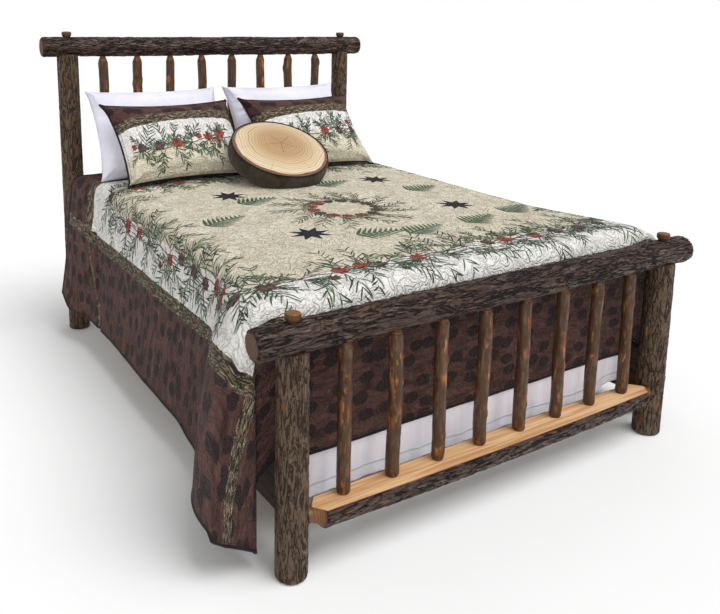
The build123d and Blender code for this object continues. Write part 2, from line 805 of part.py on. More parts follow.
def reach(direction, along, across, half_length, half_thickness, radius):
    """How far a rounded slab reaches from its middle in a direction of the YZ plane."""
    share_along = abs(direction[0] * along[0] + direction[1] * along[1])
    share_across = abs(direction[0] * across[0] + direction[1] * across[1])
    return (half_length - radius) * share_along + (half_thickness - radius) * share_across + radius


lean_up = (math.sin(lean), math.cos(lean))
lean_front = (-math.cos(lean), math.sin(lean))
white_size = (white_pillow_height / 2, white_pillow_thickness / 2, white_pillow_edge_radius)
sham_size = (sham_height / 2, sham_thickness / 2, sham_edge_radius)
white_y = spindle_face_y - pillow_rest_gap - reach((1, 0), lean_up, lean_front, *white_size)
white_z = bedding_top + reach((0, 1), lean_up, lean_front, *white_size)
sham_z = bedding_top + reach((0, 1), lean_up, lean_front, *sham_size)
sham_step = (white_pillow_thickness + sham_thickness) / 2 + pillow_rest_gap
sham_y = white_y - (sham_step - (sham_z - white_z) * math.sin(lean)) / math.cos(lean)

tilt_along = (math.cos(tilt), math.sin(tilt))
tilt_axis = (-math.sin(tilt), math.cos(tilt))
cushion_size = (cushion_diameter / 2, cushion_thickness / 2, cushion_edge_radius)
cushion_z = bedding_top + reach((0, 1), tilt_along, tilt_axis, *cushion_size)
sham_front = sham_y * math.cos(lean) - sham_z * math.sin(lean) - sham_thickness / 2 - pillow_rest_gap
cushion_reach = reach(lean_front, tilt_along, tilt_axis, *cushion_size)
cushion_y = (sham_front - cushion_reach + cushion_z * math.sin(lean)) / math.cos(lean)


def pillow(name, x, y, z, width, height, thickness, corner_radius, edge_radius):
    """A pillow on edge, leaning back, with its middle at x, y, z."""
    plane = Plane((x, y, z), x_dir=(1, 0, 0), z_dir=(0, *lean_front))
    with BuildPart() as cushion:
        with BuildSketch(plane):
            RectangleRounded(width, height, corner_radius)
        extrude(amount=thickness / 2, both=True)
        faces = cushion.faces().sort_by(Axis(plane.origin, plane.z_dir))
        fillet(faces[0].edges() + faces[-1].edges(), edge_radius)
    write(cushion.part, name)


for side, name in ((-1, "left"), (1, "right")):
    pillow(
        f"white_pillow_{name}", pillow_across + side * white_pillow_pitch / 2, white_y, white_z,
        white_pillow_width, white_pillow_height, white_pillow_thickness,
        white_pillow_corner_radius, white_pillow_edge_radius,
    )
    pillow(
        f"sham_{name}", pillow_across + side * sham_pitch / 2, sham_y, sham_z,
        sham_width, sham_height, sham_thickness, sham_corner_radius, sham_edge_radius,
    )

cushion_plane = Plane((cushion_across, cushion_y, cushion_z), x_dir=(1, 0, 0), z_dir=(0, *tilt_axis))
with BuildPart() as round_cushion:
    with BuildSketch(cushion_plane):
        Circle(cushion_diameter / 2)
    extrude(amount=cushion_thickness / 2, both=True)
    fillet(round_cushion.edges().filter_by(GeomType.CIRCLE), cushion_edge_radius)
write(round_cushion.part, "round_cushion")
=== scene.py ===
"""A rustic log bed, made up with its bedding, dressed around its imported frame."""
import json
import math
from itertools import product

import bpy
import numpy as np
from mathutils import Matrix, Vector


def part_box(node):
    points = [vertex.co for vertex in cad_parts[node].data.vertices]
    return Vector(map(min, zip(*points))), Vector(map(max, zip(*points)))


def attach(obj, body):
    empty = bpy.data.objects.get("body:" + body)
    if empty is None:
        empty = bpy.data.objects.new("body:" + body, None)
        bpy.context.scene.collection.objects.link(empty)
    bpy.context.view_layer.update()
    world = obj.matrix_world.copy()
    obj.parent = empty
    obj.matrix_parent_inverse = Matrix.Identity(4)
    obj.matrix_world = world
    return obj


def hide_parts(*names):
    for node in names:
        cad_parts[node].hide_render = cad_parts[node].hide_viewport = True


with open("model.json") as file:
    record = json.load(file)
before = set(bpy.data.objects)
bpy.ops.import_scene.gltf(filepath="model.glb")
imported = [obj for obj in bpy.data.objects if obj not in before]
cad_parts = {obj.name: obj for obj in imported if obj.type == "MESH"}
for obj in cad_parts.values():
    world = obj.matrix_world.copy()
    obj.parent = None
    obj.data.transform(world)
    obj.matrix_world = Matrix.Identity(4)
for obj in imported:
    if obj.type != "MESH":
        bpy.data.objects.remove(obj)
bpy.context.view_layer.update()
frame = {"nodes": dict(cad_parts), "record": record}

pi = math.pi
scene = bpy.context.scene


# ------------------------------------------------------------------ camera and lamps
def into_scene(name, data):
    made = bpy.data.objects.new(name, data)
    scene.collection.objects.link(made)
    return made


def set_camera():
    data = bpy.data.cameras.new("bed_camera")
    data.sensor_width, data.lens = 36.0, 38.60
    data.shift_x, data.shift_y = 0.0918, -0.1907
    data.dof.use_dof = False
    across, up = (0.85840, -0.51296, 0.00603), (0.08697, 0.15710, 0.98377)
    back = (-0.50557, -0.84393, 0.17946)
    place = Matrix((across, up, back)).transposed().to_4x4()
    place.translation = (-1.825, -2.785, 1.546)
    scene.camera = into_scene("bed_camera", data)
    scene.camera.matrix_world = place


def sun_lamp(name, toward, strength, softness):
    """A broad far lamp that stands in the given direction; softness is its width in degrees."""
    data = bpy.data.lights.new(name, "SUN")
    data.energy, data.angle = strength, math.radians(softness)
    into_scene(name, data).rotation_euler = Vector(toward).to_track_quat("Z", "Y").to_euler()


# ------------------------------------------------------------------ soft random fields
def ease(value):
    value = np.clip(value, 0.0, 1.0)
    return value * value * (3 - 2 * value)


def cloudy(x, y, z, seed):
    """Smooth random values from 0 to 1 over points given in noise units."""
    cells = 32
    table = np.random.default_rng(seed).random((cells, cells, cells))
    spots = [np.asarray(c, float) for c in np.broadcast_arrays(x, y, z)]
    base = [np.floor(c).astype(int) for c in spots]
    part = [ease(c - b) for c, b in zip(spots, base)]
    total = np.zeros(spots[0].shape)
    for corner in product((0, 1), repeat=3):
        weight = np.ones(spots[0].shape)
        for p, d in zip(part, corner):
            weight = weight * (p if d else 1 - p)
        total += weight * table[tuple((b + d) % cells for b, d in zip(base, corner))]
    return total


def layered(x, y, z, seed, layers=3):
    """Cloudy values at finer and fainter scales put together, from -0.5 to 0.5."""
    sizes = [0.5 ** k for k in range(layers)]
    total = sum(cloudy(x * 2 ** k, y * 2 ** k, z * 2 ** k, seed + k) * size for k, size in enumerate(sizes))
    return total / sum(sizes) - 0.5


def bark_plates(along, angle, radius, plate_length, plate_width, seed):
    """0 in the furrows between the plates of bark, rising to 1 on the plates."""
    stock = 256             # jittered plates along the log before they come round again
    count = max(7, round(2 * pi * radius / plate_width))
    across_x, across_y = np.cos(angle) * radius / plate_width, np.sin(angle) * radius / plate_width
    sway = layered(across_x * 0.5, across_y * 0.5, along / plate_length * 1.1, seed + 5)
    slip = layered(across_x * 0.8, across_y * 0.8, along / plate_length * 0.8, seed + 9)
    around = angle / (2 * pi) * count + sway * 2.2
    run = along / plate_length + slip * 1.6
    jitter = np.random.default_rng(seed).random((count, stock, 2))
    cell_a, cell_r = np.floor(around).astype(int), np.floor(run).astype(int)
    near = second = np.full(around.shape, 9.0)
    for da, dr in product((-1, 0, 1), repeat=2):
        a, r = cell_a + da, cell_r + dr
        spot = jitter[a % count, r % stock]
        gap = np.hypot(a + 0.1 + 0.8 * spot[..., 0] - around, (r + spot[..., 1] - run) * 1.15)
        second = np.minimum(second, np.maximum(near, gap))
        near = np.minimum(near, gap)
    return np.clip((second - near) / 0.42, 0, 1) ** 0.65


# ------------------------------------------------------------------ meshes
def new_mesh(name, points, faces=(), edges=()):
    mesh = bpy.data.meshes.new(name)
    mesh.from_pydata([tuple(p) for p in np.asarray(points, float)], edges, [list(map(int, f)) for f in faces])
    return mesh


def bind(name, mesh, body, stands_for=()):
    """Puts a mesh at the origin, binds it to its body and hides the CAD nodes it stands for."""
    piece = into_scene(name, mesh)
    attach(piece, body)
    if stands_for:
        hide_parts(*stands_for)
    return piece


def add_piece(name, points, faces, looks, face_look=None, marks=None, cloth=None, body="root",
              stands_for=()):
    """A smooth mesh with its looks, marks on its points and, as a UV map, its places on the flat cloth."""
    mesh = new_mesh(name, points, faces)
    for look in looks:
        mesh.materials.append(look)
    if face_look is not None:
        mesh.polygons.foreach_set("material_index", np.asarray(face_look, np.int32))
    mesh.polygons.foreach_set("use_smooth", [True] * len(mesh.polygons))
    for key, values in (marks or {}).items():
        layer = mesh.attributes.new(key, "FLOAT", "POINT")
        layer.data.foreach_set("value", np.asarray(values, np.float32).ravel())
    if cloth is not None:
        corners = np.empty(len(mesh.loops), np.int32)
        mesh.loops.foreach_get("vertex_index", corners)
        places = np.asarray(cloth, np.float32).reshape(-1, 2)[corners]
        mesh.uv_layers.new(name="cloth").data.foreach_set("uv", places.ravel())
    mesh.update()
    return bind(name, mesh, body, stands_for)


def grid_faces(rows, columns, wrap=False):
    """Quads of a grid; with wrap the last column joins the first."""
    across = np.arange(columns if wrap else columns - 1)
    i = np.arange(rows - 1)[:, None]
    a, b = i * columns + across, i * columns + (across + 1) % columns
    return np.stack([a, b, b + columns, a + columns], -1).reshape(-1, 4)


def barrel_faces(rows, sides):
    """Faces round rings of points, closed at both ends to the two tips that come after the rings."""
    k = np.arange(sides)
    ahead, last, tip = (k + 1) % sides, (rows - 1) * sides, 0 * k + rows * sides
    fans = np.stack([np.stack([tip, ahead, k], -1), np.stack([tip + 1, last + k, last + ahead], -1)], 1)
    return grid_faces(rows, sides, wrap=True).tolist() + fans.reshape(-1, 3).tolist()


def turned_rings(centre, radii, heights, axes=np.eye(3)):
    """Rings of points round an axis; radii has a row for each height and a column for each direction."""
    turn = np.arange(radii.shape[1]) * 2 * pi / radii.shape[1]
    across, along, up = axes
    return (centre + (np.cos(turn) * radii)[..., None] * across + (np.sin(turn) * radii)[..., None] * along
            + np.asarray(heights)[:, None, None] * up)


def grid_ring(grid, inset=0):
    """The points of a grid along its border, or a few cells inside it."""
    cut = grid[inset:len(grid) - inset, inset:grid.shape[1] - inset]
    return np.concatenate([cut[0, :-1], cut[:-1, -1], cut[-1, :0:-1], cut[:0:-1, 0]])


def grid_normals(points):
    normal = np.cross(np.gradient(points, axis=1), np.gradient(points, axis=0))
    return normal / (np.linalg.norm(normal, axis=-1, keepdims=True) + 1e-9)


def add_cord(name, path, radius, look, body="root"):
    """A round cord along a closed loop of points."""
    sides = 8
    forward = np.roll(path, -1, 0) - np.roll(path, 1, 0)
    forward /= np.linalg.norm(forward, axis=1)[:, None] + 1e-12
    side = np.zeros_like(path)
    last = np.cross(forward[0], (0.0, 0.0, 1.0))
    for k, way in enumerate(forward):
        last = last - way * last.dot(way)
        last = side[k] = last / np.linalg.norm(last)
    turn = np.arange(sides)[:, None] * 2 * pi / sides
    up = np.cross(side, forward)
    points = path[:, None] + radius * (np.cos(turn) * side[:, None] - np.sin(turn) * up[:, None])
    faces = grid_faces(len(path) + 1, sides, wrap=True) % (len(path) * sides)
    return add_piece(name, points.reshape(-1, 3), faces, [look], body=body)


# ------------------------------------------------------------------ node helpers
def math_node(operation, last=False):
    """A method that adds a Math node, with the wire itself as its first value or as its last."""
    return lambda self, *others: self.tree.math(operation, *((*others, self) if last else (self, *others)))


class Wire:
    """An output of a node. Arithmetic on it adds Math nodes, and [key] gives another output of its node."""
    __add__, __sub__, __rsub__ = math_node("ADD"), math_node("SUBTRACT"), math_node("SUBTRACT", last=True)
    __mul__, __pow__, __abs__ = math_node("MULTIPLY"), math_node("POWER"), math_node("ABSOLUTE")

    def __init__(self, tree, socket):
        self.tree, self.socket = tree, socket

    def __getitem__(self, key):
        return Wire(self.tree, self.socket.node.outputs[key])


class Tree:
    """Short words for building a node tree."""

    def __init__(self, tree):
        self.tree = tree

    def add(self, kind, inputs=None, **settings):
        made = self.tree.nodes.new(kind if "Node" in kind else "ShaderNode" + kind)
        for key, value in settings.items():
            setattr(made, key, value)
        for key, value in (inputs or {}).items():
            self.put(made.inputs[key], value)
        return Wire(self, made.outputs[0])

    def put(self, socket, value):
        if isinstance(value, Wire):
            self.tree.links.new(value.socket, socket)
        else:
            socket.default_value = value

    def math(self, operation, *values):
        return self.add("Math", dict(enumerate(values)), operation=operation)

    def mix(self, factor, first, second, blend="MIX"):
        """A mix of two colours, which are the node's sockets 6 and 7."""
        return self.add("Mix", {0: factor, 6: first, 7: second}, data_type="RGBA", blend_type=blend)[2]

    def span(self, *values):
        """A value eased from its low and high to new ones, which are 0 and 1 unless they are given."""
        return self.add("MapRange", dict(enumerate(values)), interpolation_type="SMOOTHSTEP")

    def ramp(self, value, *stops):
        made = self.add("ValToRGB", {"Fac": value})
        band = made.socket.node.color_ramp
        while len(band.elements) < len(stops):
            band.elements.new(0.5)
        for element, (place, color) in zip(band.elements, stops):
            element.position, element.color = place, color
        return made

    def noise(self, vector, scale, detail=2.0, rough=0.5, twist=0.0, **settings):
        return self.add("TexNoise", {"Vector": vector, "Scale": scale, "Detail": detail, "Roughness": rough,
                                     "Distortion": twist}, **settings)

    def cells(self, vector, feature="F1", **inputs):
        return self.add("TexVoronoi", {"Vector": vector, "Scale": 1.0, **inputs}, voronoi_dimensions="2D",
                        feature=feature)["Distance"]

    def scaled(self, vector, size):
        return self.add("Mapping", {"Vector": vector, "Scale": size})

    def jostled(self, vector, scale, detail, reach):
        """A vector that noise moves about, by at most reach."""
        noise = self.noise(vector, scale, detail)["Color"]
        move = self.add("VectorMath", {0: noise, 1: reach}, operation="MULTIPLY")
        return self.add("VectorMath", {0: vector, 1: move}, operation="ADD")

    def object_place(self):
        return self.add("TexCoord")["Object"]

    def cloth_place(self):
        """A place on the flat cloth, and its two parts."""
        place = self.add("UVMap", uv_map="cloth")
        parts = self.add("SeparateXYZ", {0: place})
        return place, parts[0], parts[1]

    def mark(self, name):
        return self.add("Attribute", attribute_name=name)["Fac"]

    def bump(self, height, distance, strength=1.0, **normal):
        return self.add("Bump", {"Height": height, "Distance": distance, "Strength": strength, **normal})

    def group(self, group, **inputs):
        return self.add("Group", inputs, node_tree=group)


class Look(Tree):
    """A material's own tree."""

    def __init__(self, name):
        self.material = bpy.data.materials.new(name)
        self.material.use_nodes = True
        super().__init__(self.material.node_tree)

    def shaded(self, **values):
        """Sets the shader's inputs, to a wire or a constant each, and gives the material."""
        shader = self.tree.nodes["Principled BSDF"]
        for key, value in values.items():
            self.put(shader.inputs[key.replace("_", " ")], value)
        return self.material


class Group(Tree):
    """A node group. Its inputs and outputs are names listed by the kind of their socket."""

    def __init__(self, name, inputs, outputs, kind="ShaderNodeTree"):
        super().__init__(bpy.data.node_groups.new(name, kind))
        for side, listed in (("INPUT", inputs), ("OUTPUT", outputs)):
            for socket_kind, names in listed.items():
                for label in names.split():
                    self.tree.interface.new_socket(label, in_out=side, socket_type="NodeSocket" + socket_kind)
        self.given = self.add("NodeGroupInput")

    def giving(self, **values):
        """Wires the outputs and gives the group."""
        out = self.tree.nodes.new("NodeGroupOutput")
        for key, value in values.items():
            self.put(out.inputs[key], value)
        return self.tree


def shade(*screen):
    """A screen colour, 0 to 255 each, as a linear one."""
    return (*(c / 255 / 12.92 if c <= 10 else ((c / 255 + 0.055) / 1.055) ** 2.4 for c in screen), 1.0)


# ------------------------------------------------------------------ stitches and cloth
def make_stitch_tree():
    """Lays short thread stitches along a line of edges."""
    t = Group("stitch_row", dict(Geometry="Line", Float="Spacing Length Radius", Int="Seed",
                                 Material="Thread"), dict(Geometry="Stitches"), "GeometryNodeTree")
    line = t.add("GeometryNodeMeshToCurve", {"Mesh": t.given["Line"]})
    spots = t.add("GeometryNodeResampleCurve", {"Curve": line, "Length": t.given["Spacing"]}, mode="LENGTH")
    thread = t.add("GeometryNodeMeshCylinder", {"Vertices": 6, "Radius": t.given["Radius"],
                                                "Depth": t.given["Length"]})
    way = t.add("FunctionNodeAlignEulerToVector", {"Vector": t.add("GeometryNodeInputTangent")}, axis="Z")
    vary = t.add("FunctionNodeRandomValue", {"Min": (0.85, 0.85, 0.8), "Max": (1.1, 1.1, 1.1),
                                             "Seed": t.given["Seed"]}, data_type="FLOAT_VECTOR")
    rows = t.add("GeometryNodeInstanceOnPoints", {"Points": spots, "Instance": thread, "Rotation": way,
                                                  "Scale": vary})
    real = t.add("GeometryNodeRealizeInstances", {"Geometry": rows})
    dyed = t.add("GeometryNodeSetMaterial", {"Geometry": real, "Material": t.given["Thread"]})
    return t.giving(Stitches=dyed)


stitch_tree = make_stitch_tree()
thread_lift = 0.0006    # how far stitches stand off their cloth
cord_radius = 0.0062    # of the quilt's binding and the shams' piping


def add_stitches(name, lines, look, slot, body="root", closed=True, **sizes):
    """One plain mesh of stitches along lines of points, made by the stitch tree and converted."""
    points, edges = [], []
    for line in lines:
        start, count = len(points), len(line)
        points += list(line)
        edges += [(start + k, start + (k + 1) % count) for k in range(count if closed else count - 1)]
    holder = into_scene(name + "_line", new_mesh(name + "_line", points, edges=edges))
    nodes = holder.modifiers.new("stitches", "NODES")
    nodes.node_group = stitch_tree
    values = dict(sizes, Thread=look)
    for item in stitch_tree.interface.items_tree:
        if item.name in values:
            nodes[item.identifier] = values[item.name]
    made = bpy.data.meshes.new_from_object(holder.evaluated_get(bpy.context.evaluated_depsgraph_get()))
    bpy.data.objects.remove(holder)
    made.name = name
    made.materials.clear()
    made.materials.append(look)
    return bind(name, made, body)


def plump_cloth(points, faces, cap, shrink):
    """Blows the closed cloth up a little, gravity off, and moves no point further than cap."""
    last_frame = 20
    trial = into_scene("cloth_try", new_mesh("cloth_try", points, faces))
    cloth = trial.modifiers.new("cloth", "CLOTH")
    cloth.settings.use_pressure = True
    cloth.settings.uniform_pressure_force = 4.0
    cloth.settings.effector_weights.gravity = 0.0
    cloth.settings.quality = 4
    cloth.settings.shrink_min = shrink
    cloth.settings.bending_stiffness = 0.3
    cloth.point_cache.frame_start, cloth.point_cache.frame_end = 1, last_frame
    for number in range(1, last_frame + 1):
        scene.frame_set(number)
    settled = trial.evaluated_get(bpy.context.evaluated_depsgraph_get()).to_mesh()
    after = np.empty(len(points) * 3)
    settled.vertices.foreach_get("co", after)
    bpy.data.objects.remove(trial)
    scene.frame_set(1)
    move = after.reshape(-1, 3) - points
    far = np.linalg.norm(move, axis=1)[:, None]
    return points + move * np.minimum(1.0, cap / np.maximum(far, 1e-9))


# ------------------------------------------------------------------ shared effects
def make_bark_group():
    """Bark: dark furrows that are partly painted shade, brown plates, grey crests that are partly worn and
    partly a painted highlight, and orange nicks, with its height and gloss.
    """
    t = Group("bark", dict(Vector="Vector", Float="Ridge Bare Fine Cracks", Color="Plate Crest Furrow"),
              dict(Color="Color", Float="Height Gloss Lacquer"))
    given, place = t.given, t.given["Vector"]
    fine = t.noise(place, given["Fine"], 6.0, 0.68, 0.9)
    wide = t.noise(place, given["Fine"] * 0.36, 3.0, 0.6, 1.3)
    gap = t.span(abs(wide - 0.5), 0.0, 0.07, 1.0, 0.0)
    level = (given["Ridge"] * 0.32 + fine * 0.86) * (1.0 - gap * given["Cracks"] * 0.7)
    # The furrows' dark colour is partly painted shade in the hollows of the bark.
    color = t.mix(t.span(level, 0.26, 0.58), given["Furrow"], given["Plate"])
    # The grey on the highest crests is partly wear and partly a painted highlight.
    wear_and_highlight = t.span(level, 0.66, 0.90) * t.span(t.noise(place, 9.0, 3.0), 0.36, 0.60)
    color = t.mix(wear_and_highlight, color, given["Crest"])
    nick = t.span(t.noise(place, 22.0, 2.0), 0.68, 0.72) * t.span(fine, 0.46, 0.58)
    nick = t.math("MAXIMUM", nick * 0.75, given["Bare"] * t.span(fine, 0.36, 0.50))
    orange = t.ramp(t.noise(place, 45.0, 3.0), (0.32, shade(56, 28, 14)), (0.52, shade(118, 68, 30)),
                    (0.70, shade(172, 112, 58)))
    return t.giving(Color=t.mix(nick, color, orange), Height=level - nick * 0.12,
                    Gloss=t.span(level, 0.30, 0.85, 0.72, 0.34), Lacquer=t.span(level, 0.46, 0.82, 0.0, 0.42))


def make_quilting_group():
    """Height of the puffs between wandering stitch lines, and where the stitches sink, a mask the prints
    darken as painted shade.
    """
    t = Group("quilting", dict(Vector="Vector", Float="Scale"), dict(Float="Height Seam"))
    near, far = (abs(t.noise(t.given["Vector"], t.given["Scale"] * size, 0.0, 0.5, twist,
                             noise_dimensions="2D") - middle)
                 for size, twist, middle in ((1.0, 1.5, 0.5), (1.55, 1.2, 0.47)))
    return t.giving(Height=t.span(near, 0.0, 0.16) * (t.span(far, 0.0, 0.14) * 0.4 + 0.6),
                    Seam=t.span(near, 0.0, 0.016, 1.0, 0.0))


def make_weave_group():
    """Fine plain weave for every cloth."""
    t = Group("weave", dict(Vector="Vector", Float="Threads"), dict(Float="Height"))
    warp, weft = (t.add("TexWave", {"Vector": t.given["Vector"], "Scale": t.given["Threads"],
                                    "Distortion": 0.6, "Detail": 1.0}, bands_direction=way)["Fac"]
                  for way in "XY")
    return t.giving(Height=warp + weft)


def make_bark_stripe_group():
    """Printed bark for the stripes: pale broken plates over dark cracks, X along the stripe."""
    t = Group("bark_stripe_print", dict(Vector="Vector"), dict(Color="Color"))
    moved = t.jostled(t.given["Vector"], 26.0, 3.0, (0.020, 0.016, 0.0))
    streak = t.noise(t.scaled(moved, (34.0, 190.0, 1.0)), 1.0, 4.0, 0.62, 0.5)
    ridge = abs(t.noise(t.scaled(moved, (22.0, 92.0, 1.0)), 1.0, 3.0, 0.6, 0.8) - 0.5)
    plate = t.span(ridge, 0.012, 0.062) * t.span(streak, 0.36, 0.56)
    pale = t.ramp(streak, (0.38, shade(84, 70, 56)), (0.52, shade(134, 118, 94)),
                  (0.70, shade(182, 168, 142)))
    return t.giving(Color=t.mix(plate, shade(38, 29, 27), pale))


def make_blotch_group():
    """Printed brown ground with dark leaf-like ovals."""
    t = Group("leaf_blotch_print", dict(Vector="Vector"), dict(Color="Color"))
    moved = t.jostled(t.given["Vector"], 30.0, 2.0, (0.016, 0.016, 0.0))
    oval = t.span(t.cells(t.scaled(moved, (11.0, 14.5, 1.0)), Randomness=0.72), 0.28, 0.335, 1.0, 0.0)
    fleck = t.span(t.cells(t.scaled(moved, (95.0, 130.0, 1.0)), "DISTANCE_TO_EDGE"), 0.03, 0.14)
    streaks = t.noise(t.scaled(t.given["Vector"], (9.0, 34.0, 1.0)), 1.0, 4.0, 0.6, 1.0)
    ground = t.ramp(streaks, (0.34, shade(58, 38, 35)), (0.47, shade(80, 53, 48)), (0.66, shade(98, 67, 60)))
    dark = t.mix(fleck, shade(58, 41, 40), shade(26, 18, 20))
    return t.giving(Color=t.mix(oval * 0.9, ground, dark))


def make_grain_group():
    """Sawn or planed wood: long streaks along X, with broad darker bands."""
    t = Group("plank_grain", dict(Vector="Vector", Color="Light Dark"), dict(Color="Color", Float="Height"))
    streak = t.noise(t.scaled(t.given["Vector"], (3.0, 60.0, 60.0)), 1.0, 5.0, 0.6, 0.4)
    broad = t.noise(t.scaled(t.given["Vector"], (1.2, 9.0, 9.0)), 1.0, 2.0)
    color = t.mix(t.span(streak, 0.38, 0.66), t.given["Light"], t.given["Dark"])
    return t.giving(Color=t.mix(t.span(broad, 0.5, 0.75) * 0.45, color, t.given["Dark"]), Height=streak)


set_camera()
bark_group = make_bark_group()
quilting_group = make_quilting_group()
weave_group = make_weave_group()
stripe_group = make_bark_stripe_group()
blotch_group = make_blotch_group()
grain_group = make_grain_group()


# ------------------------------------------------------------------ finishes
def bark_look(name, stretch, plate, crest, furrow, fine, relief, cracks=1.0):
    """Bark; stretch is the scale along X, Y and Z that draws the grain out along the log, fine the
    scale of its pattern and relief the depth of its bumps."""
    t = Look(name)
    bark = t.group(bark_group, Vector=t.scaled(t.object_place(), stretch), Ridge=t.mark("ridge"),
                   Bare=t.mark("bare"), Plate=plate, Crest=crest, Furrow=furrow, Fine=fine, Cracks=cracks)
    return t.shaded(Coat_Roughness=0.22, IOR=1.40, Specular_IOR_Level=0.3, Base_Color=bark["Color"],
                    Roughness=bark["Gloss"], Coat_Weight=bark["Lacquer"],
                    Normal=t.bump(bark["Height"], relief))


def cut_look(name, light, dark, rough=0.34):
    """A sawn and polished log end: rings about the log's own middle, held in the 'reach' marks."""
    rings_per_metre = 228.0
    t = Look(name)
    place = t.object_place()
    reach = t.mark("reach") + t.noise(place, 18.0, 2.0) * 0.007
    line = t.span(t.math("FRACT", reach * rings_per_metre), 0.35, 0.9)
    pores = t.noise(place, 260.0, 3.0)
    color = t.mix(line * 0.55, light, dark)
    color = t.mix(t.span(pores, 0.5, 0.7) * 0.35, color, dark)
    color = t.mix(t.span(t.mark("reach"), 0.036, 0.046), color, shade(58, 26, 16))
    return t.shaded(Coat_Weight=0.12, Coat_Roughness=0.2, Specular_IOR_Level=0.2, Base_Color=color,
                    Roughness=t.span(pores, 0.3, 0.7, rough, rough + 0.2),
                    Normal=t.bump(line + pores, 0.0004))


def plank_look(name, light, dark, rough=0.5, turn=0.0):
    """Sawn wood with its grain along X, or turned about Z; 'edge' marks show a bark-brown rim."""
    t = Look(name)
    place = t.add("Mapping", {"Vector": t.object_place(), "Rotation": (0, 0, turn)})
    grain = t.group(grain_group, Vector=place, Light=light, Dark=dark)
    return t.shaded(Specular_IOR_Level=0.25,
                    Base_Color=t.mix(t.mark("edge"), grain["Color"], shade(92, 34, 20)),
                    Roughness=t.span(grain["Height"], 0.3, 0.7, rough, rough + 0.15),
                    Normal=t.bump(grain["Height"], 0.0007))


# crest colours are partly a painted highlight, furrow colours partly painted shade
bark_level = bark_look("bark_level", stretch=(0.17, 1.0, 1.0), plate=shade(64, 46, 38),
                       crest=shade(108, 94, 88), furrow=shade(16, 10, 9), fine=92.0, relief=0.0042)
bark_upright = bark_look("bark_upright", stretch=(1.0, 1.0, 0.18), plate=shade(86, 68, 52),
                         crest=shade(118, 99, 78), furrow=shade(42, 31, 24), fine=140.0, relief=0.0026)
bark_stick = bark_look("bark_stick", stretch=(1.0, 1.0, 0.30), plate=shade(72, 49, 31),
                       crest=shade(104, 78, 50), furrow=shade(32, 19, 12), fine=52.0, relief=0.0013,
                       cracks=0.25)
cut_end = cut_look("cut_end", shade(84, 53, 31), shade(48, 29, 17), rough=0.45)
peg_top = cut_look("peg_top", shade(136, 88, 44), shade(86, 52, 26))
tenon_wood = cut_look("tenon_wood", shade(122, 82, 48), shade(74, 46, 26))
planed_flat = plank_look("planed_flat", shade(222, 182, 138), shade(186, 136, 90))
stained_board = plank_look("stained_board", shade(54, 37, 26), shade(30, 20, 14), turn=pi / 2)
sawn_pine = plank_look("sawn_pine", shade(222, 188, 138), shade(188, 142, 90), rough=0.6)


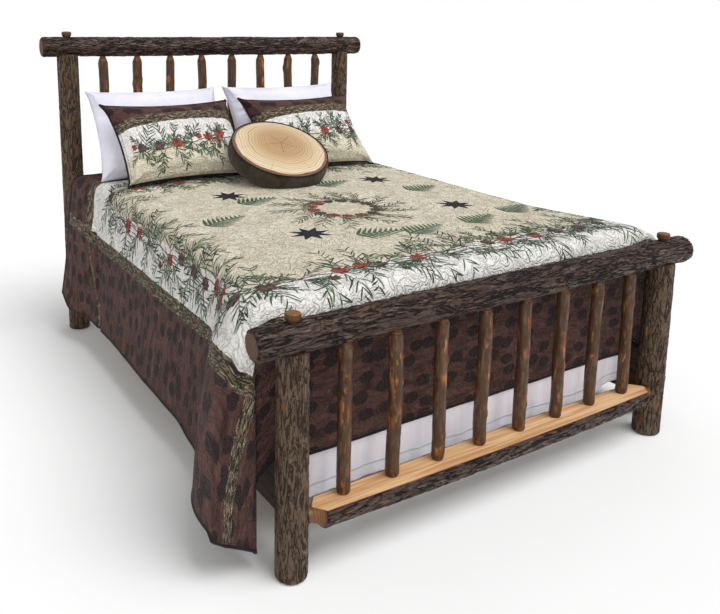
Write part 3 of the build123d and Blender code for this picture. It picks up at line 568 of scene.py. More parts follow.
# ------------------------------------------------------------------ logs
def log_piece(name, level, low, high, middle, radius_at, looks, steps, sides, seed, plate, relief, round_end,
              bare, lump=0.0012, knots=(), flat=None, plain=0.0, bare_ends=(0.0, 0.0)):
    """A barked log along X (level) or Z, from low to high, with rounded ends.

    middle gives the two other coordinates at each place along it, radius_at the radius. plate is the
    length and width of a plate of bark and relief its depth. bare says how long the worn patches are,
    how many lie around and how much of the log they take. lump is the depth of its swellings, and a
    knot has a place, an angle and a size. flat is a height above which the log is planed off, plain
    evens out the marks of the plates, and bare_ends are the lengths cut back to clean wood."""
    turn = np.arange(sides) * 2 * pi / sides
    quarter = np.linspace(0, pi / 2, 5)[:-1]
    cut, dip = round_end * (1 - np.cos(quarter)), round_end * (1 - np.sin(quarter))
    spread = np.linspace(0, 1, steps + 1)
    body = low + round_end + spread * (high - low - 2 * round_end)
    along = np.concatenate([low + cut, body, (high - cut)[::-1]])
    inset = np.concatenate([dip, 0 * spread, dip[::-1]])
    s, a = np.meshgrid(along, turn, indexing="ij")
    base = radius_at(along)[:, None] + 0 * a
    usual = float(np.median(base))
    ridge = bark_plates(s + seed * 0.37, a, usual, *plate, seed)
    x_n, y_n = np.cos(a) * 2.2, np.sin(a) * 2.2
    swell = layered(x_n * 0.5 + seed, y_n * 0.5, s / 0.16, seed + 30, 2)
    fray = layered(x_n * 4, y_n * 4, s / (plate[0] * 0.5), seed + 40)
    size_s, size_a, amount = bare
    patch = layered(x_n * size_a + 3 * seed, y_n * size_a, s / size_s, seed + 50) + 0.5
    bare_here = ease((patch - (1 - amount)) / 0.045)
    knot_lift = 0
    for place, angle, size in knots:
        off = np.hypot(s - place, (np.mod(a - angle + pi, 2 * pi) - pi) * usual) / size
        knot_lift = knot_lift + size * (0.36 * np.exp(-off ** 2) - 0.2 * np.exp(-(off / 0.32) ** 2))
        rings = ease(1.45 - off / 0.8) * (off > 0.2) * (0.55 + 0.45 * np.sin(off * 17))
        bare_here = np.maximum(bare_here, rings)
    trimmed = np.maximum(s < low + bare_ends[0], s > high - bare_ends[1])
    relief_here = relief * (1 - 0.75 * bare_here) * np.where(trimmed, 0.12, 1.0)
    radius = (base + 2 * lump * swell - relief_here * (1 - ridge) + relief_here * 0.9 * fray
              - 0.25 * relief * bare_here + knot_lift - inset[:, None])
    core = np.stack(middle(along), -1)
    skin = core[:, None] + radius[..., None] * np.stack([np.cos(a), np.sin(a)], -1)
    edge, face_look = np.zeros_like(s), np.zeros((len(along) + 7, sides), int)
    face_look[:5] = face_look[-5:] = 1
    face_look[4:-4][trimmed[:-1] & trimmed[1:]] = 1
    if flat is not None:
        mid_b = core[:, 1:]
        chord = np.sqrt(np.maximum(base ** 2 - (flat - mid_b) ** 2, 1e-8))
        over = (base * np.sin(a) + mid_b) > flat
        edge = ease((np.abs(base * np.cos(a)) - chord + 0.006) / 0.006) * over
        skin[..., 0] = np.where(over, core[:, :1] + base * np.cos(a), skin[..., 0])
        skin[..., 1] = np.where(over, flat, np.minimum(skin[..., 1], flat))
        planed = over & np.roll(over, -1, 1)
        face_look[4:-4][planed[:-1] & planed[1:]] = 2

    def capped(values):
        """Repeats the first and last row for the four rings on each cut end."""
        return np.concatenate([values[:1]] * 4 + [values] + [values[-1:]] * 4)

    def mark(field, rest):
        ends = np.full(4 * sides, rest)
        return np.concatenate([ends, field.ravel(), ends, [rest, rest]])

    inward = capped(np.ones((len(along), 1, 1)))
    inward[:4, 0, 0], inward[-4:, 0, 0] = (0.12, 0.36, 0.62, 0.86), (0.86, 0.62, 0.36, 0.12)
    arms = (capped(skin) - capped(core)[:, None]) * inward
    rings = capped(core)[:, None] + arms
    stations = np.broadcast_to(capped(along)[:, None, None], (*rings.shape[:2], 1))
    tips = np.column_stack([core[[0, -1]], along[[0, -1]]])
    points = np.vstack([np.concatenate([rings, stations], -1).reshape(-1, 3), tips])
    marks = {"ridge": mark(plain + (1 - plain) * np.clip(ridge + 0.5 * fray, 0, 1), 0.5),
             "bare": mark(bare_here, 0.0), "edge": mark(edge, 0.0),
             "reach": np.append(np.hypot(arms[..., 0], arms[..., 1]), (0, 0))}
    add_piece(f"{name}_log", np.roll(points, 1, 1) if level else points, barrel_faces(len(rings), sides),
              looks, [*face_look.ravel()] + [1] * (2 * sides), marks, stands_for=(name,))


def node_span(name, axis):
    low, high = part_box(name)
    return low[axis], high[axis]


def wobble(seed, size, length):
    """A crooked line: two slow waves with their own phases."""
    draw = np.random.default_rng(seed)
    p = draw.random(4) * 2 * pi
    w = draw.uniform(0.7, 1.3, 4)

    def bend(z):
        t = (z - z.min()) / length * 2 * pi
        return size * (np.sin(t * 0.8 * w[0] + p[0]) * 0.6 + np.sin(t * 1.9 * w[1] + p[1]) * 0.4)
    return bend


post_x, post_y = 0.810, 1.090


def corner_of(name):
    return post_x * (1 if "right" in name else -1), post_y * (1 if "head" in name else -1)


def make_posts():
    for seed, name, size in ((11, "head_post_left", 0.104), (12, "head_post_right", 0.096),
                             (13, "foot_post_left", 0.096), (14, "foot_post_right", 0.102)):
        x, y = corner_of(name)
        top, steps = (1.4166, 440) if "head" in name else (0.689, 270)
        log_piece(name, False, node_span(name, 2)[0], top, lambda z: (x + 0 * z, y + 0 * z),
                  lambda z: size / 2 + 0.0008 * np.sin(z / top * 5), [bark_upright, cut_end], steps=steps,
                  sides=116, seed=seed, plate=(0.042, 0.0068), relief=0.0026, round_end=0.010,
                  bare=(0.06, 1.6, 0.27),
                  knots=[(1.28, -1.9, 0.016), (1.31, -1.6, 0.011)] if name == "head_post_left" else ())


def make_top_rails():
    for name, y, z, left, right, seed, trim in (
            ("head_top_rail", post_y, 1.4515, 0.0485, 0.0495, 21, 0.0),
            ("foot_top_rail", -post_y, 0.7235, 0.0465, 0.0513, 22, 0.014)):
        low, high = node_span(name, 0)
        low, high = low + trim, high - trim
        bend = wobble(seed, 0.0012, high - low)
        log_piece(name, True, low, high, lambda x: (y + bend(x), z + 0 * x),
                  lambda x: left + (right - left) * (x - low) / (high - low), [bark_level, cut_end],
                  steps=600, sides=118, seed=seed, plate=(0.070, 0.0090), relief=0.0046, round_end=0.012,
                  bare=(0.05, 1.5, 0.25), lump=0.0028)


def make_lower_rails():
    """Thick logs planed flat on top, coved down to a tenon at both ends; widest is a share of the run."""
    low, high, tenon, widest = -0.772, 0.772, 0.0215, 0.55
    for name, y, flat, seed in (("foot_lower_rail", -1.104, 0.205, 31),
                                ("head_lower_rail", 1.104, 0.620, 32)):
        def radius_at(x):
            part = (x - low) / (high - low)
            full = np.where(part < widest, 0.049 + 0.010 * np.sin(np.clip(part / widest, 0, 1) * pi / 2),
                            0.059 - 0.010 * ((part - widest) / (1 - widest)) ** 2)
            neck = np.clip((np.minimum(x - low, high - x) - 0.010) / 0.040, 0, 1)
            return tenon + (full - 0.0025 - tenon) * neck ** 1.8

        log_piece(name, True, low, high, lambda x: (y + 0 * x, flat - 0.0235 + 0 * x), radius_at,
                  [bark_level, tenon_wood, planed_flat], steps=470, sides=118, seed=seed,
                  plate=(0.065, 0.0090), relief=0.0040, round_end=0.004, bare=(0.05, 1.5, 0.26), flat=flat,
                  bare_ends=(0.049, 0.049))


def make_spindles():
    """Eight sticks at each end of the bed, with pencilled tips and their feet and tips cut clean."""
    spacing = 0.181
    seen_knots = {"head_spindle_2": [(1.262, -2.9, 0.017)], "head_spindle_7": [(1.322, 3.0, 0.019)],
                  "head_spindle_8": [(1.352, -0.3, 0.017)]}
    for end, y, low, high, size, rows, tip, more in (("head", post_y, 0.612, 1.412, 0.048, 250, 0.030, 0),
                                                     ("foot", -post_y, 0.197, 0.688, 0.044, 210, 0.018, 1)):
        for i in range(8):
            name = f"{end}_spindle_{i + 1}"
            draw = np.random.default_rng(100 + i + 50 * more)
            bend_x, bend_y = wobble(200 + i, 0.0035, 0.8), wobble(300 + i, 0.0025, 0.8)
            own, neck = size / 2 * draw.uniform(0.95, 1.03), 0.0128

            def radius_at(z):
                upper = np.clip((high - 0.010 - z) / tip, 0, 1)
                lower = np.clip((z - low - 0.004) / 0.012, 0, 1)
                return neck + (own - neck) * np.minimum(upper ** 0.8, lower ** 0.6)

            def middle(z):
                hold = ease((z - low) / 0.08) * ease((high - z) / 0.08)
                return (i - 3.5) * spacing + bend_x(z) * hold, y + bend_y(z) * hold

            knots = [(draw.uniform(low + 0.08, high - 0.08), draw.uniform(-2.6, -0.6),
                      draw.uniform(0.010, 0.016)) for _ in range(draw.integers(1, 4))]
            log_piece(name, False, low, high, middle, radius_at, [bark_stick, tenon_wood], steps=rows,
                      sides=48, seed=400 + i + 20 * more, plate=(0.09, 0.014), relief=0.0009,
                      round_end=0.003, bare=(0.040, 1.0, 0.40), lump=0.0018,
                      knots=seen_knots.get(name, []) + knots, plain=0.62, bare_ends=(0.012, tip + 0.004))


def make_pegs():
    """Tapered pegs with flared heads, turned from a stick, their tops cut clean."""
    tall, sides, barked = 0.042, 40, 8
    profile = np.array([(0.0135, 0.0), (0.0145, 0.006), (0.0150, 0.014), (0.0176, 0.0168), (0.0212, 0.0200),
                        (0.0232, 0.0250), (0.0235, 0.0300), (0.0232, 0.0345), (0.0222, 0.0385),
                        (0.0195, 0.0405), (0.0150, 0.0413), (0.0080, 0.0419)])
    turn = np.arange(sides) * 2 * pi / sides
    looks = [0] * (barked * sides) + [1] * ((len(profile) - 1 - barked + 2) * sides)
    for name in ("head_peg_left", "head_peg_right", "foot_peg_left", "foot_peg_right"):
        (x, y), top = corner_of(name), node_span(name, 2)[1]
        lumpy = 1 + 0.05 * layered(np.cos(turn) * 1.5 + x * 3, np.sin(turn) * 1.5 + y * 2, 0.3, 77)
        radii = profile[:, :1] * lumpy
        rings = turned_rings((x, y, top - tall), radii, profile[:, 1])
        points = np.vstack([rings.reshape(-1, 3), (x, y, top - tall), (x, y, top)])
        marks = {"ridge": np.full(len(points), 0.7), "bare": np.full(len(points), 0.15),
                 "reach": np.append(radii, (0, 0))}
        add_piece(f"{name}_turned", points, barrel_faces(len(profile), sides), [bark_stick, peg_top],
                  looks, marks, stands_for=(name,))


make_posts()
make_top_rails()
make_lower_rails()
make_spindles()
make_pegs()


# ------------------------------------------------------------------ the quilt's shape
edge_x = 0.722          # where the top begins to round over at the sides
edge_y = -0.960         # and at the foot
head_y = 1.020
bend_radius = 0.055
side_fall = 0.602       # cloth from the end of the rounding to the side hem
corner_reach = 0.152    # how far the drops spring out where they are fullest
spring = 0.215          # and over what length of cloth
over_foot = 0.079       # cloth over the rounding at the foot
foot_fall = 0.461       # and from there to the foot hem
side_cells, bend_cells, top_cells, foot_cells, length_cells = 54, 8, 112, 42, 152


def bed_height(x, y):
    """Height of the made-up bed under the quilt's face: it rises to the head and is crowned across."""
    level = 0.7985
    rise = 0.016 * ease((y + 0.5) / 1.1)
    crown = 0.010 * (1 - (x / 0.76) ** 2) * (0.4 + 0.6 * ease((y + 1.0) / 0.3))
    return level + rise + crown + 0.006 * layered(x / 0.45 + 7, y / 0.45 + 3, 0.5, 61, 2)


def side_profile(y):
    """Corner swing, run of the rounding, its radius, how far it turns and the fall of the drop at y."""
    swing = ease((-0.50 - y) / 0.47)
    ledge = 0.058 * swing + 0.060 * ease((y - 0.70) / 0.30)
    fall = side_fall + 0.030 * ease((-0.10 - y) / 0.5) - 0.012 * swing - 0.055 * ease((y - 0.90) / 0.12)
    return swing, ledge, bend_radius + 0.095 * swing, 1.4415 - 0.656 * swing, fall


def spring_out(run, reach):
    """Outward travel and drop of cloth that springs out by reach and then hangs straight."""
    slope = np.maximum(np.abs(reach) / spring, 0.01)

    def part(u):
        steep = np.sqrt(1 - (slope * u) ** 2)
        return np.arctanh(np.minimum(steep, 1 - 1e-12)) - steep

    return reach * (1 - np.exp(-run / spring)), spring * (part(np.exp(-run / spring)) - part(1.0))


def over_edge(run, swing, ledge, radius, turned):
    """Outward reach and drop at a distance along the profile that goes over the edge."""
    on_arc = np.clip((run - ledge) / radius, 0, turned)
    past = np.maximum(run - ledge - radius * turned, 0)
    sprung, fallen = spring_out(past, corner_reach)
    out = np.minimum(run, ledge) + radius * np.sin(on_arc) + past * 0.1286 * (1 - swing) + sprung * swing
    down = radius * (1 - np.cos(on_arc)) + past * 0.9917 * (1 - swing) + fallen * swing
    return out, down


def make_quilt_grid():
    """The quilt's points and printed cloth places on one grid, rows from foot hem to head."""
    columns = 2 * side_cells + 2 * bend_cells + top_cells + 1
    rows = foot_cells + bend_cells + length_cells + 1
    points, cloth = np.zeros((rows, columns, 3)), np.zeros((rows, columns, 2))
    mid = (columns - 1) / 2
    from_mid = np.arange(columns) - mid
    off, sign, half_top = np.abs(from_mid), np.sign(from_mid), top_cells / 2
    on_top = np.clip(off / half_top, 0, 1)
    on_bend = np.clip((off - half_top) / bend_cells, 0, 1)
    on_side = np.clip((off - half_top - bend_cells) / side_cells, 0, 1)
    sideways = on_side > 0
    for j in range(rows):
        on_foot = np.clip((foot_cells - j) / foot_cells, 0, 1)
        bent = np.clip((foot_cells + bend_cells - j) / bend_cells, 0, 1)
        y = (edge_y - 0.040 * bent if bent > 0 else
             edge_y + (head_y - edge_y) * (j - foot_cells - bend_cells) / length_cells)
        swing, ledge, radius, turned, fall = side_profile(y)
        run = np.where(off <= half_top, 0, on_bend * (ledge + radius * turned) + on_side * fall)
        out, down = over_edge(run, swing, ledge, radius, turned)
        ripple = layered(y / 0.34 + 11 * (sign > 0), on_side * 0.8, 0.2, 71, 2)
        fine_fold = layered(y / 0.11 + 5 * (sign > 0), on_side * 1.2, 0.7, 75, 2)
        fold = on_side ** 1.2 * (0.030 * ripple + 0.007 * fine_fold) * (1 - swing) ** 0.7
        crease = -0.012 * np.exp(-((y - (0.83 - 0.24 * on_side)) / 0.018) ** 2) * ease(on_side / 0.4)
        x = sign * (edge_x * on_top + out) + sign * (fold + crease)
        z = bed_height(sign * np.minimum(edge_x, np.abs(x)), y) - down
        from_centre = edge_x * on_top + run * (1 - 0.07 * swing)
        y_here, b = np.full(columns, y), np.full(columns, y)
        if bent > 0:
            tight = bend_radius - 0.034 * ease((from_centre - 0.70) / 0.20)
            rounded = edge_y + (tight - 1.0145 - edge_y) * ease(bent * 2) - tight * np.sin(bent * pi / 2)
            y_here = np.where(sideways, y, rounded)
            z = np.where(sideways, z, z - tight * (1 - np.cos(bent * pi / 2)))
            b = np.where(sideways, edge_y - 0.012 * bent, edge_y - over_foot * bent)
        if on_foot > 0:
            width = np.abs(x)
            hem = 0.487 - 0.012 * layered(width / 0.3 + 2 + (x > 0), 0.3, 0.5, 81, 2)
            hem = hem - 0.036 * np.exp(-((width - 0.79) / 0.03) ** 2) + 0.018 * ease((width - 0.82) / 0.05)
            wave = 0.010 * layered(x / 0.16 + 4, on_foot * 0.5, 0.9, 83, 2) * on_foot ** 0.7
            y_here = np.where(sideways, y_here, y_here + wave)
            z = np.where(sideways, z, z - on_foot * (hem - bend_radius))
            b = np.where(sideways, b, edge_y - over_foot - on_foot * foot_fall)
        points[j] = np.stack([x, y_here, z], -1)
        cloth[j] = np.stack([sign * from_centre, b], -1)
    # the two foot corners: rays from the corner point, laid along a folded path
    turns = np.radians([0.0, 8.0, 27.0, 33.0, 44.0, 58.0, 70.0, 80.0, 90.0])
    springs = np.array([1.0, 0.74, 0.10, 0.013, 0.10, 0.25, 0.133, -0.013, 0.0]) * corner_reach
    path_y = (0.000, -0.030, -0.040, -0.018, 0.120, 0.230, 0.110, 0.000, 0.0)
    q = 1 - np.arange(foot_cells)[:, None] / foot_cells
    p = np.arange(1, side_cells + 1) / side_cells
    flat_x = p * np.sqrt(1 - 0.17 * q * q) * side_profile(-1.0)[4]
    flat_y = q * np.sqrt(1 - 0.34 * p * p) * 0.450
    reach, theta = np.hypot(flat_x, flat_y), np.arctan2(flat_y, flat_x)
    slant = np.interp(theta, turns, path_y)
    out, down = spring_out(reach, np.interp(theta, turns, springs))
    puff = 0.004 * np.sin(reach / 0.6 * pi) * np.sin(theta * 9)
    for side in (-1, 1):
        corner = int(mid + side * (half_top + bend_cells))
        apex, start = points[foot_cells, corner], abs(cloth[foot_cells, corner, 0])
        column = corner + side * np.arange(1, side_cells + 1)
        points[:foot_cells, column] = np.stack(
            [apex[0] + side * out, apex[1] + slant * reach / np.sqrt(1 + slant ** 2) + puff,
             apex[2] - down / np.sqrt(1 + slant ** 2)], -1)
        cloth[:foot_cells, column] = np.stack(
            [side * (start + flat_x * 0.93),
             edge_y - 0.012 - 0.067 * np.sin(theta) ** 2 - flat_y * (foot_fall / 0.450)], -1)
    return points, cloth


def sample_grid(points, normals, cloth, a, b):
    """Where cloth places a, b lie on a surface, with its direction there."""
    row_b = cloth[:, points.shape[1] // 2, 1]
    j = np.interp(b, row_b, np.arange(len(row_b)))
    both = np.concatenate([points, normals], -1)
    found = []
    for place, at in zip(a, j):
        row = min(int(at), len(row_b) - 2)
        spots = []
        for line in (row, row + 1):
            i = np.interp(place, cloth[line, :, 0], np.arange(cloth.shape[1]))
            i0 = min(int(i), cloth.shape[1] - 2)
            spots.append(both[line, i0] * (1 - i + i0) + both[line, i0 + 1] * (i - i0))
        found.append(spots[0] * (1 - at + row) + spots[1] * (at - row))
    return np.split(np.array(found), 2, axis=1)


# ------------------------------------------------------------------ cloth finishes
def woven(t, place, color, under, threads=420.0, strength=0.4, sheen=0.2, rough=0.85):
    """Finishes a cloth look with a fine weave over the folds or puffs under it."""
    weave = t.group(weave_group, Vector=place, Threads=threads)
    return t.shaded(Sheen_Weight=sheen, Sheen_Roughness=0.5, Roughness=rough, Specular_IOR_Level=0.25,
                    Base_Color=color, Normal=t.bump(weave, 0.0002, strength, Normal=under))


def printed(t, place, stripe_place, tan, ivory, stripe, stitch_scale, puff):
    """A quilted print in bands: masks lay ivory, the bark stripe and tan over the brown ground."""
    ivory_tone = t.mix(t.noise(place, 5.0, 3.0), shade(222, 219, 213), shade(234, 232, 228))
    tan_tone = t.mix(t.span(t.noise(place, 7.0, 4.0, 0.6), 0.35, 0.65), shade(206, 197, 174),
                     shade(220, 212, 192))
    color = t.mix(ivory, t.group(blotch_group, Vector=place), ivory_tone)
    color = t.mix(stripe, color, t.group(stripe_group, Vector=stripe_place))
    color = t.mix(tan, color, tan_tone)
    stitched = t.group(quilting_group, Vector=place, Scale=stitch_scale)
    # Painted shade: the cloth darkens a little where the stitches sink.
    color = t.mix(stitched["Seam"] * 0.05, color, shade(120, 112, 102), "MULTIPLY")
    return woven(t, place, color, t.bump(stitched, puff), strength=0.5, sheen=0.04)


def make_quilt_look():
    t = Look("quilt_print")
    place, a, b = t.cloth_place()
    jag = (t.noise(place, 40.0, 3.0) - 0.5) * 0.012
    across = abs(a) + jag
    side, foot = across - 0.824, b * -1.0 + jag - 0.870
    head = b + t.span(across, 1.05, 1.40) * 0.19 + jag - 0.620
    thin = t.span(across, 1.047, 1.062, 0.226, 0.186)

    def between(value, high, low=0.170, soft=0.0012):
        return (t.span(value, low - soft, low + soft)
                * t.span(value, t.math("SUBTRACT", high, soft), t.math("ADD", high, soft), 1.0, 0.0))

    side_stripe = between(side, 0.226)
    level = t.math("MAXIMUM", between(foot, 0.226), between(head, thin))
    furthest = t.math("MAXIMUM", t.math("MAXIMUM", side, foot), head)
    tan = t.span(t.math("MAXIMUM", furthest, foot + 0.013), 0.003, -0.003)
    turned = t.add("CombineXYZ", {0: b, 1: a, 2: 0.0})
    stripe_place = t.add("Mix", {0: side_stripe, 4: place, 5: turned}, data_type="VECTOR")[1]
    return printed(t, place, stripe_place, tan, ivory=t.span(furthest, 0.1715, 0.1690),
                   stripe=t.math("MAXIMUM", side_stripe, level), stitch_scale=25.0, puff=0.0060)


def make_sham_look():
    t = Look("sham_print")
    place, a, b = t.cloth_place()
    up = b + (t.noise(place, 40.0, 3.0) - 0.5) * 0.010 + (a - 0.10) ** 2.0 * 0.22
    return printed(t, place, place, tan=t.span(up, -0.040, -0.048), ivory=t.span(up, 0.087, 0.084),
                   stripe=t.span(up, 0.083, 0.086) * t.span(up, 0.137, 0.134), stitch_scale=28.0,
                   puff=0.0045)


def plain_cloth(name, light, dark, scale=9.0, sheen=0.0, rough=0.85, rumple=0.0120):
    """Plain cotton with soft rumples, its colour darker in their hollows as painted shade; scale is how fine
    they are and rumple how deep.
    """
    t = Look(name)
    place = t.object_place()
    folds = t.noise(place, scale, 3.0, 0.5, 0.8)
    # The colour goes to dark in the rumples' hollows: painted shade.
    return woven(t, place, t.mix(t.span(folds, 0.3, 0.7), shade(*dark), shade(*light)), t.bump(folds, rumple),
                 threads=500.0, sheen=sheen, rough=rough)


def make_skirt_look():
    """White cotton streaked with painted pleat shade, with a stitched hem line."""
    t = Look("skirt_white")
    place, hem = t.object_place(), t.mark("hem")
    # Vertical streaks of painted shade, as of pleats, vary the white.
    folds = t.noise(t.scaled(place, (1.0, 1.0, 0.25)), 16.0, 2.0)
    white = t.mix(t.span(folds, 0.35, 0.65), shade(226, 223, 233), shade(240, 238, 244))
    return woven(t, place, t.mix(hem * 0.5, white, shade(186, 182, 192)), t.bump(hem, 0.002), threads=500.0,
                 sheen=0.1, rough=0.8)


quilt_print, sham_print, skirt_white = make_quilt_look(), make_sham_look(), make_skirt_look()
# Each plain cloth below: first colour on the rumples' crests, second, darker, in their hollows as painted
# shade.
motif_looks = [plain_cloth(*look) for look in (
    ("leaf_green", (96, 120, 90), (44, 70, 50), 30.0), ("leaf_dark", (60, 72, 60), (30, 38, 34), 30.0),
    ("twig_brown", (112, 90, 82), (60, 46, 44), 60.0), ("berry_russet", (168, 84, 70), (126, 50, 44), 60.0),
    ("motif_ink", (44, 47, 56), (14, 15, 22), 50.0), ("sprig_green", (84, 106, 82), (52, 78, 56), 24.0))]
leaf, dark_leaf, twig, berry, ink, sprig = range(6)     # their places in that list
quilt_back = plain_cloth("quilt_back", (186, 178, 158), (164, 154, 134), sheen=0.05)
binding_black = plain_cloth("binding_black", (22, 20, 24), (10, 9, 12), sheen=0.05, rough=0.7)
pillow_white = plain_cloth("pillow_white", (226, 225, 236), (214, 212, 226), scale=6.0, sheen=0.1,
                           rough=0.8, rumple=0.0088)
thread_dark = plain_cloth("thread_dark", (58, 48, 44), (36, 30, 28), scale=60.0)
thread_pale = plain_cloth("thread_pale", (196, 192, 200), (176, 172, 180), scale=60.0)
ticking = plain_cloth("ticking", (222, 220, 214), (200, 198, 192), sheen=0.2, rumple=0.0064)
cushion_side = plain_cloth("cushion_side", (66, 57, 44), (42, 36, 27), scale=14.0, sheen=0.1, rough=0.8)


# ------------------------------------------------------------------ printed motifs laid on cloth
def away(x, y, way, reach):
    """The place that lies reach away from x, y in direction way."""
    return x + math.cos(way) * reach, y + math.sin(way) * reach


class Motifs:
    """Collects flat strokes and patches in cloth places, then lays them on a surface."""

    def __init__(self, points, normals, cloth):
        self.surface = points, normals, cloth
        self.places, self.faces, self.looks, self.rises = [], [], [], []

    def ribbon(self, spots, widths, look):
        """A tapering stroke through spots, one width at each."""
        spots, start, n = np.asarray(spots, float), len(self.places), len(spots)
        ahead = np.gradient(spots, axis=0)
        ahead /= np.linalg.norm(ahead, axis=1)[:, None] + 1e-9
        aside = np.stack([-ahead[:, 1], ahead[:, 0]], -1) * np.asarray(widths, float)[:, None] / 2
        self.places += [*(spots + aside), *(spots - aside)]
        self.rises += [0.0] * (2 * n)
        self.faces += [[start + n + k, start + n + k + 1, start + k + 1, start + k] for k in range(n - 1)]
        self.looks += [look] * (n - 1)

    def patch(self, outline, look, rise=0.0):
        """A filled shape round its own middle; rise lifts it over what it overlaps."""
        outline, start, n = np.asarray(outline, float), len(self.places), len(outline)
        x, y = outline.T
        if np.sum(x * np.roll(y, -1) - np.roll(x, -1) * y) < 0:
            outline = outline[::-1]
        self.places += [outline.mean(0), *outline]
        self.rises += [rise] * (n + 1)
        self.faces += [[start, start + 1 + k, start + 1 + (k + 1) % n] for k in range(n)]
        self.looks += [look] * n

    def lay(self, name, body="root"):
        lift = 0.0009
        found, facing = sample_grid(*self.surface, *np.array(self.places).T)
        points = found + facing * (lift + np.array(self.rises)[:, None])
        return add_piece(name, points, self.faces, motif_looks, self.looks, body=body)


def leaf_spray(motifs, draw, x, y, heading, size):
    """A spray of slender leaves on a twig."""
    bend, steps, cuts = draw.uniform(-0.5, 0.5), 7, 4
    turn, spine = heading, [(x, y)]
    for k in range(steps):
        turn += bend / steps
        spine.append(away(*spine[-1], turn, size / steps))
    motifs.ribbon(spine, np.linspace(0.0034, 0.0012, len(spine)), twig)
    for k, side in product(range(1, steps + 1), (-1, 1)):
        if draw.random() < 0.12:
            continue
        length = size * draw.uniform(0.26, 0.52) * (1.1 - 0.5 * k / steps)
        way = turn - bend * (1 - k / steps) + side * draw.uniform(0.35, 0.9)
        curl = side * draw.uniform(-0.3, 0.35)
        spots, widths = [spine[k]], []
        for n in range(cuts + 1):
            widths.append(0.0008 + 0.0048 * math.sin(pi * (n + 0.4) / 4.8) * draw.uniform(0.7, 1.1))
            spots.append(away(*spots[-1], way + curl * n / cuts, length / cuts))
        motifs.ribbon(spots[:-1], widths, dark_leaf if draw.random() < 0.45 else leaf)


def berry_cluster(motifs, draw, x, y, size):
    """A rosette of small petals in three rings, russet or brown."""
    look = berry if draw.random() < 0.62 else twig
    for level, (ring, count) in enumerate(((0.95, 11), (0.62, 8), (0.30, 5))):
        for k in range(count):
            a = 2 * pi * k / count + draw.uniform(0, 0.5)
            middle = away(x, y, a, size * ring * 0.7)
            petal = [away(*away(*middle, a, math.cos(b) * size * 0.36), a + pi / 2, math.sin(b) * size * 0.23)
                     for b in np.arange(6) * pi / 3]
            motifs.patch(petal, look if (k + int(ring * 10)) % 4 else dark_leaf,
                         0.0003 + 0.0003 * level + 0.00015 * (k % 2))


def garland(motifs, draw, line, gap=0.120, size=0.150, bud=0.033):
    """Sprays and rosettes along a line of cloth places."""
    line = np.asarray(line, float)
    run = np.concatenate([[0], np.cumsum(np.linalg.norm(np.diff(line, axis=0), axis=1))])

    def place(s):
        return np.array([np.interp(s, run, line[:, 0]), np.interp(s, run, line[:, 1])])

    def near(spread):
        return here[0] + draw.normal(0, spread), here[1] + draw.normal(0, spread)

    stem = [place(v) + 0.006 * np.sin(v * 40) for v in np.arange(0, run[-1], 0.02)]
    motifs.ribbon(stem, np.full(len(stem), 0.004), twig)
    s = 0.02
    while s < run[-1]:
        here = place(s)
        ahead = place(min(s + 0.02, run[-1])) - place(max(s - 0.02, 0))
        way = math.atan2(ahead[1], ahead[0])
        for turn in (0.55, -0.55, 1.25, -1.25, 2.5, -2.5):
            if draw.random() < 0.88:
                leaf_spray(motifs, draw, *near(0.008), way + turn + draw.uniform(-0.3, 0.3),
                           size * draw.uniform(0.7, 1.25))
        for chance, spread, low, high in ((0.78, 0.012, 0.75, 1.1), (0.4, 0.03, 0.45, 0.7)):
            if draw.random() < chance:
                berry_cluster(motifs, draw, *near(spread), bud * draw.uniform(low, high))
        s += gap * draw.uniform(0.8, 1.2)


def star_patch(motifs, x, y):
    size, points = 0.085, 8
    for k in range(points):
        a, b = 2 * pi * k / points, pi / points
        motifs.patch([(x, y), away(x, y, a - b, size * 0.46), away(x, y, a, size),
                      away(x, y, a + b, size * 0.46)], ink)


def fern_sprig(motifs, x, y, heading):
    """A flat fern: a stem with broad leaflets that shorten towards the tip."""
    size, steps = 0.20, 9
    for k, side in product(range(steps), (-1, 1)):
        f = k / steps
        root = away(x, y, heading, size * f)
        length = size * 0.42 * (1 - f) ** 0.8 + 0.008
        motifs.ribbon([away(*root, heading + side, length * n / 3) for n in range(4)],
                      [0.010 * (1 - 0.5 * f), 0.015 * (1 - 0.4 * f), 0.010 * (1 - f * 0.4), 0.0015], sprig)
    motifs.ribbon([away(x, y, heading, size * n / 5) for n in range(6)],
                  [0.007, 0.007, 0.006, 0.005, 0.004, 0.001], sprig)


